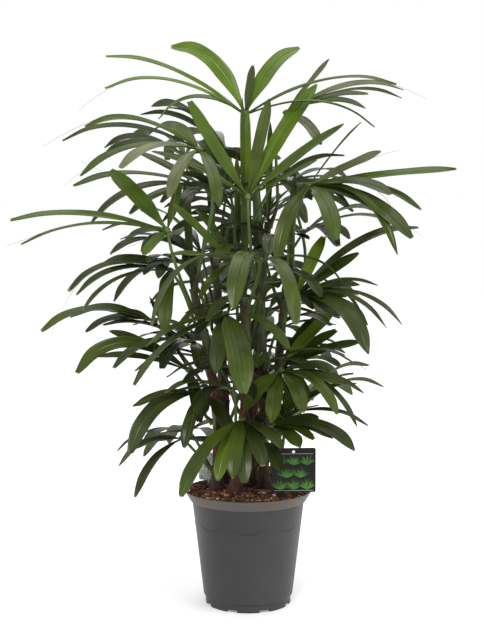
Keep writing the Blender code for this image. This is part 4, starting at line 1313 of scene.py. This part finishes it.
def card_outline(label):
    """The outline of a card with rounded corners and its pointed stake."""
    half, rise = label.width / 2, label.height / 2
    stake, foot = label.stake_shift, STAKE_FOOT_Z - label.centre[2]
    half_stake = STAKE_WIDTH / 2 - 0.0004
    outline = []
    for cx, cz, start in ((-half, -rise, 180), (half, -rise, 270), (half, rise, 0), (-half, rise, 90)):
        x, z = cx - math.copysign(CARD_CORNER, cx), cz - math.copysign(CARD_CORNER, cz)
        for i in range(5):
            a = math.radians(start + 22.5 * i)
            outline.append((x + CARD_CORNER * math.cos(a), z + CARD_CORNER * math.sin(a)))
        if start == 180:
            sides = ((-1, 0), (-1, 1), (0, 2), (1, 1), (1, 0))
            depths = (-rise, foot + 0.012, foot + 0.001)
            outline += [(stake + side * half_stake, depths[depth]) for side, depth in sides]
    return outline


def add_plates(label, gathered, look, depths, outlines, holes=()):
    """Adds plates made round a label's own centre, turned and moved to its place."""
    bm = bmesh.new()
    for outline in outlines:
        plate(bm, outline, holes, *depths)
    bmesh.ops.recalc_face_normals(bm, faces=bm.faces[:])
    # Filling gives corners and faces in an order that changes from run to run, so they are sorted.
    verts = sorted(bm.verts, key=lambda vert: tuple(vert.co))
    numbers = {vert: i for i, vert in enumerate(verts)}
    faces = sorted(tuple(numbers[vert] for vert in face.verts) for face in bm.faces)
    place = Matrix.Translation(label.centre) @ Matrix.Rotation(math.radians(label.turn), 4, "Z")
    gathered.add([place @ vert.co for vert in verts], faces, look)
    bm.free()


def ring(x, z, radius, steps=20):
    """A round hole's outline."""
    return [(x + radius * math.cos(a), z + radius * math.sin(a)) for a in around(steps)]


def tuft(x, z, length, rng):
    """Outlines of grass-like blades that fan up from one spot."""
    outlines = []
    for i in range(TUFT_BLADES):
        lean = math.radians(90 + TUFT_LEAN * (i / (TUFT_BLADES - 1) - 0.5) * 2 + rng.uniform(-5, 5))
        reach = length * rng.uniform(0.75, 1.0)
        outline = []
        for t, w in ((0, -0.3), (0.5, -1), (1, 0), (0.5, 1), (0, 0.3)):
            far, wide = reach * t, TUFT_BLADE_WIDTH * w
            outline.append((x + math.cos(lean) * far - math.sin(lean) * wide,
                            z + math.sin(lean) * far + math.cos(lean) * wide))
        outlines.append(outline)
    return outlines


def make_front_card(label):
    """A dark card with rows of generic tufts between two lines."""
    rng = random.Random(LABEL_SEED)
    gathered = Gathered()
    hole = ring(0, label.height / 2 - 0.006, CARD_HOLE)
    add_plates(label, gathered, 0, CARD_DEPTHS, [card_outline(label)], [hole])
    tufts = []
    for row, (z, length) in enumerate(TUFT_ROWS):
        count = 3 - row % 2
        for column in range(count):
            tufts += tuft((column - (count - 1) / 2) * TUFT_PITCH, z, length, rng)
    add_plates(label, gathered, 1, PRINT_DEPTHS, tufts)
    half = label.width / 2 - 0.004
    lines = [[(-half, z), (half, z), (half, z + LINE_WIDTH), (-half, z + LINE_WIDTH)] for z in LINE_HEIGHTS]
    add_plates(label, gathered, 2, PRINT_DEPTHS, lines)
    looks = [mottled("card_dark", (0.015, 0.011, 0.011), (0.010, 0.008, 0.008), 0.50, 30, gloss=0.15),
             mottled("card_green", (0.090, 0.260, 0.040), (0.040, 0.140, 0.025), 0.50, 160, gloss=0.2),
             mottled("card_line", (0.30, 0.34, 0.30), (0.22, 0.26, 0.22), 0.45, 60)]
    piece("label_card", gathered, looks, ["label_front"])


def make_back_card(label):
    """A bare, pale and mottled card."""
    gathered = Gathered()
    add_plates(label, gathered, 0, CARD_DEPTHS, [card_outline(label)])
    looks = [mottled("card_pale", (0.74, 0.77, 0.72), (0.16, 0.20, 0.13), 0.5, 480)]
    piece("label_card_back", gathered, looks, ["label_back"])


def add_light(name, place, aim, size, energy):
    """A round soft light at a place, aimed at a point."""
    data = bpy.data.lights.new(name, "AREA")
    data.shape = "DISK"
    data.size = size
    data.energy = energy
    light = placed(name, data)
    light.location = place
    light.rotation_euler = (Vector(aim) - Vector(place)).to_track_quat("-Z", "Y").to_euler()


def make_studio():
    """A pale floor, a pale sky, soft lights and the camera at the photograph's place."""
    bm = bmesh.new()
    bmesh.ops.create_circle(bm, cap_ends=True, segments=96, radius=FLOOR_RADIUS)
    floor = placed("floor", as_mesh("floor", bm))
    white = mottled("floor_white", (0.86, 0.86, 0.86), (0.85, 0.85, 0.85), 0.9, 2)
    shader = white.node_tree.nodes["Principled BSDF"]
    shader.inputs["Emission Color"].default_value = (1, 1, 1, 1)
    shader.inputs["Emission Strength"].default_value = FLOOR_GLOW
    floor.data.materials.append(white)
    world = bpy.data.worlds.new("studio")
    world.use_nodes = True
    sky = world.node_tree.nodes["Background"]
    sky.inputs["Color"].default_value = (1, 1, 1, 1)
    sky.inputs["Strength"].default_value = WORLD_STRENGTH
    scene = bpy.context.scene
    scene.world = world
    for light in LIGHTS:
        add_light(*light)
    scene.camera = placed("camera", bpy.data.cameras.new("camera"))
    scene.camera.data.lens = LENS
    scene.camera.location = CAMERA_PLACE
    scene.camera.rotation_euler = (math.radians(90 - CAMERA_PITCH), 0, 0)
    scene.view_settings.view_transform = "Standard"


make_studio()
fronds = grow()
make_leaflets(fronds)
make_threads(fronds)
make_stalks(fronds)
make_canes()
make_pot()
make_soil()
make_front_card(LABELS["label_front"])
make_back_card(LABELS["label_back"])
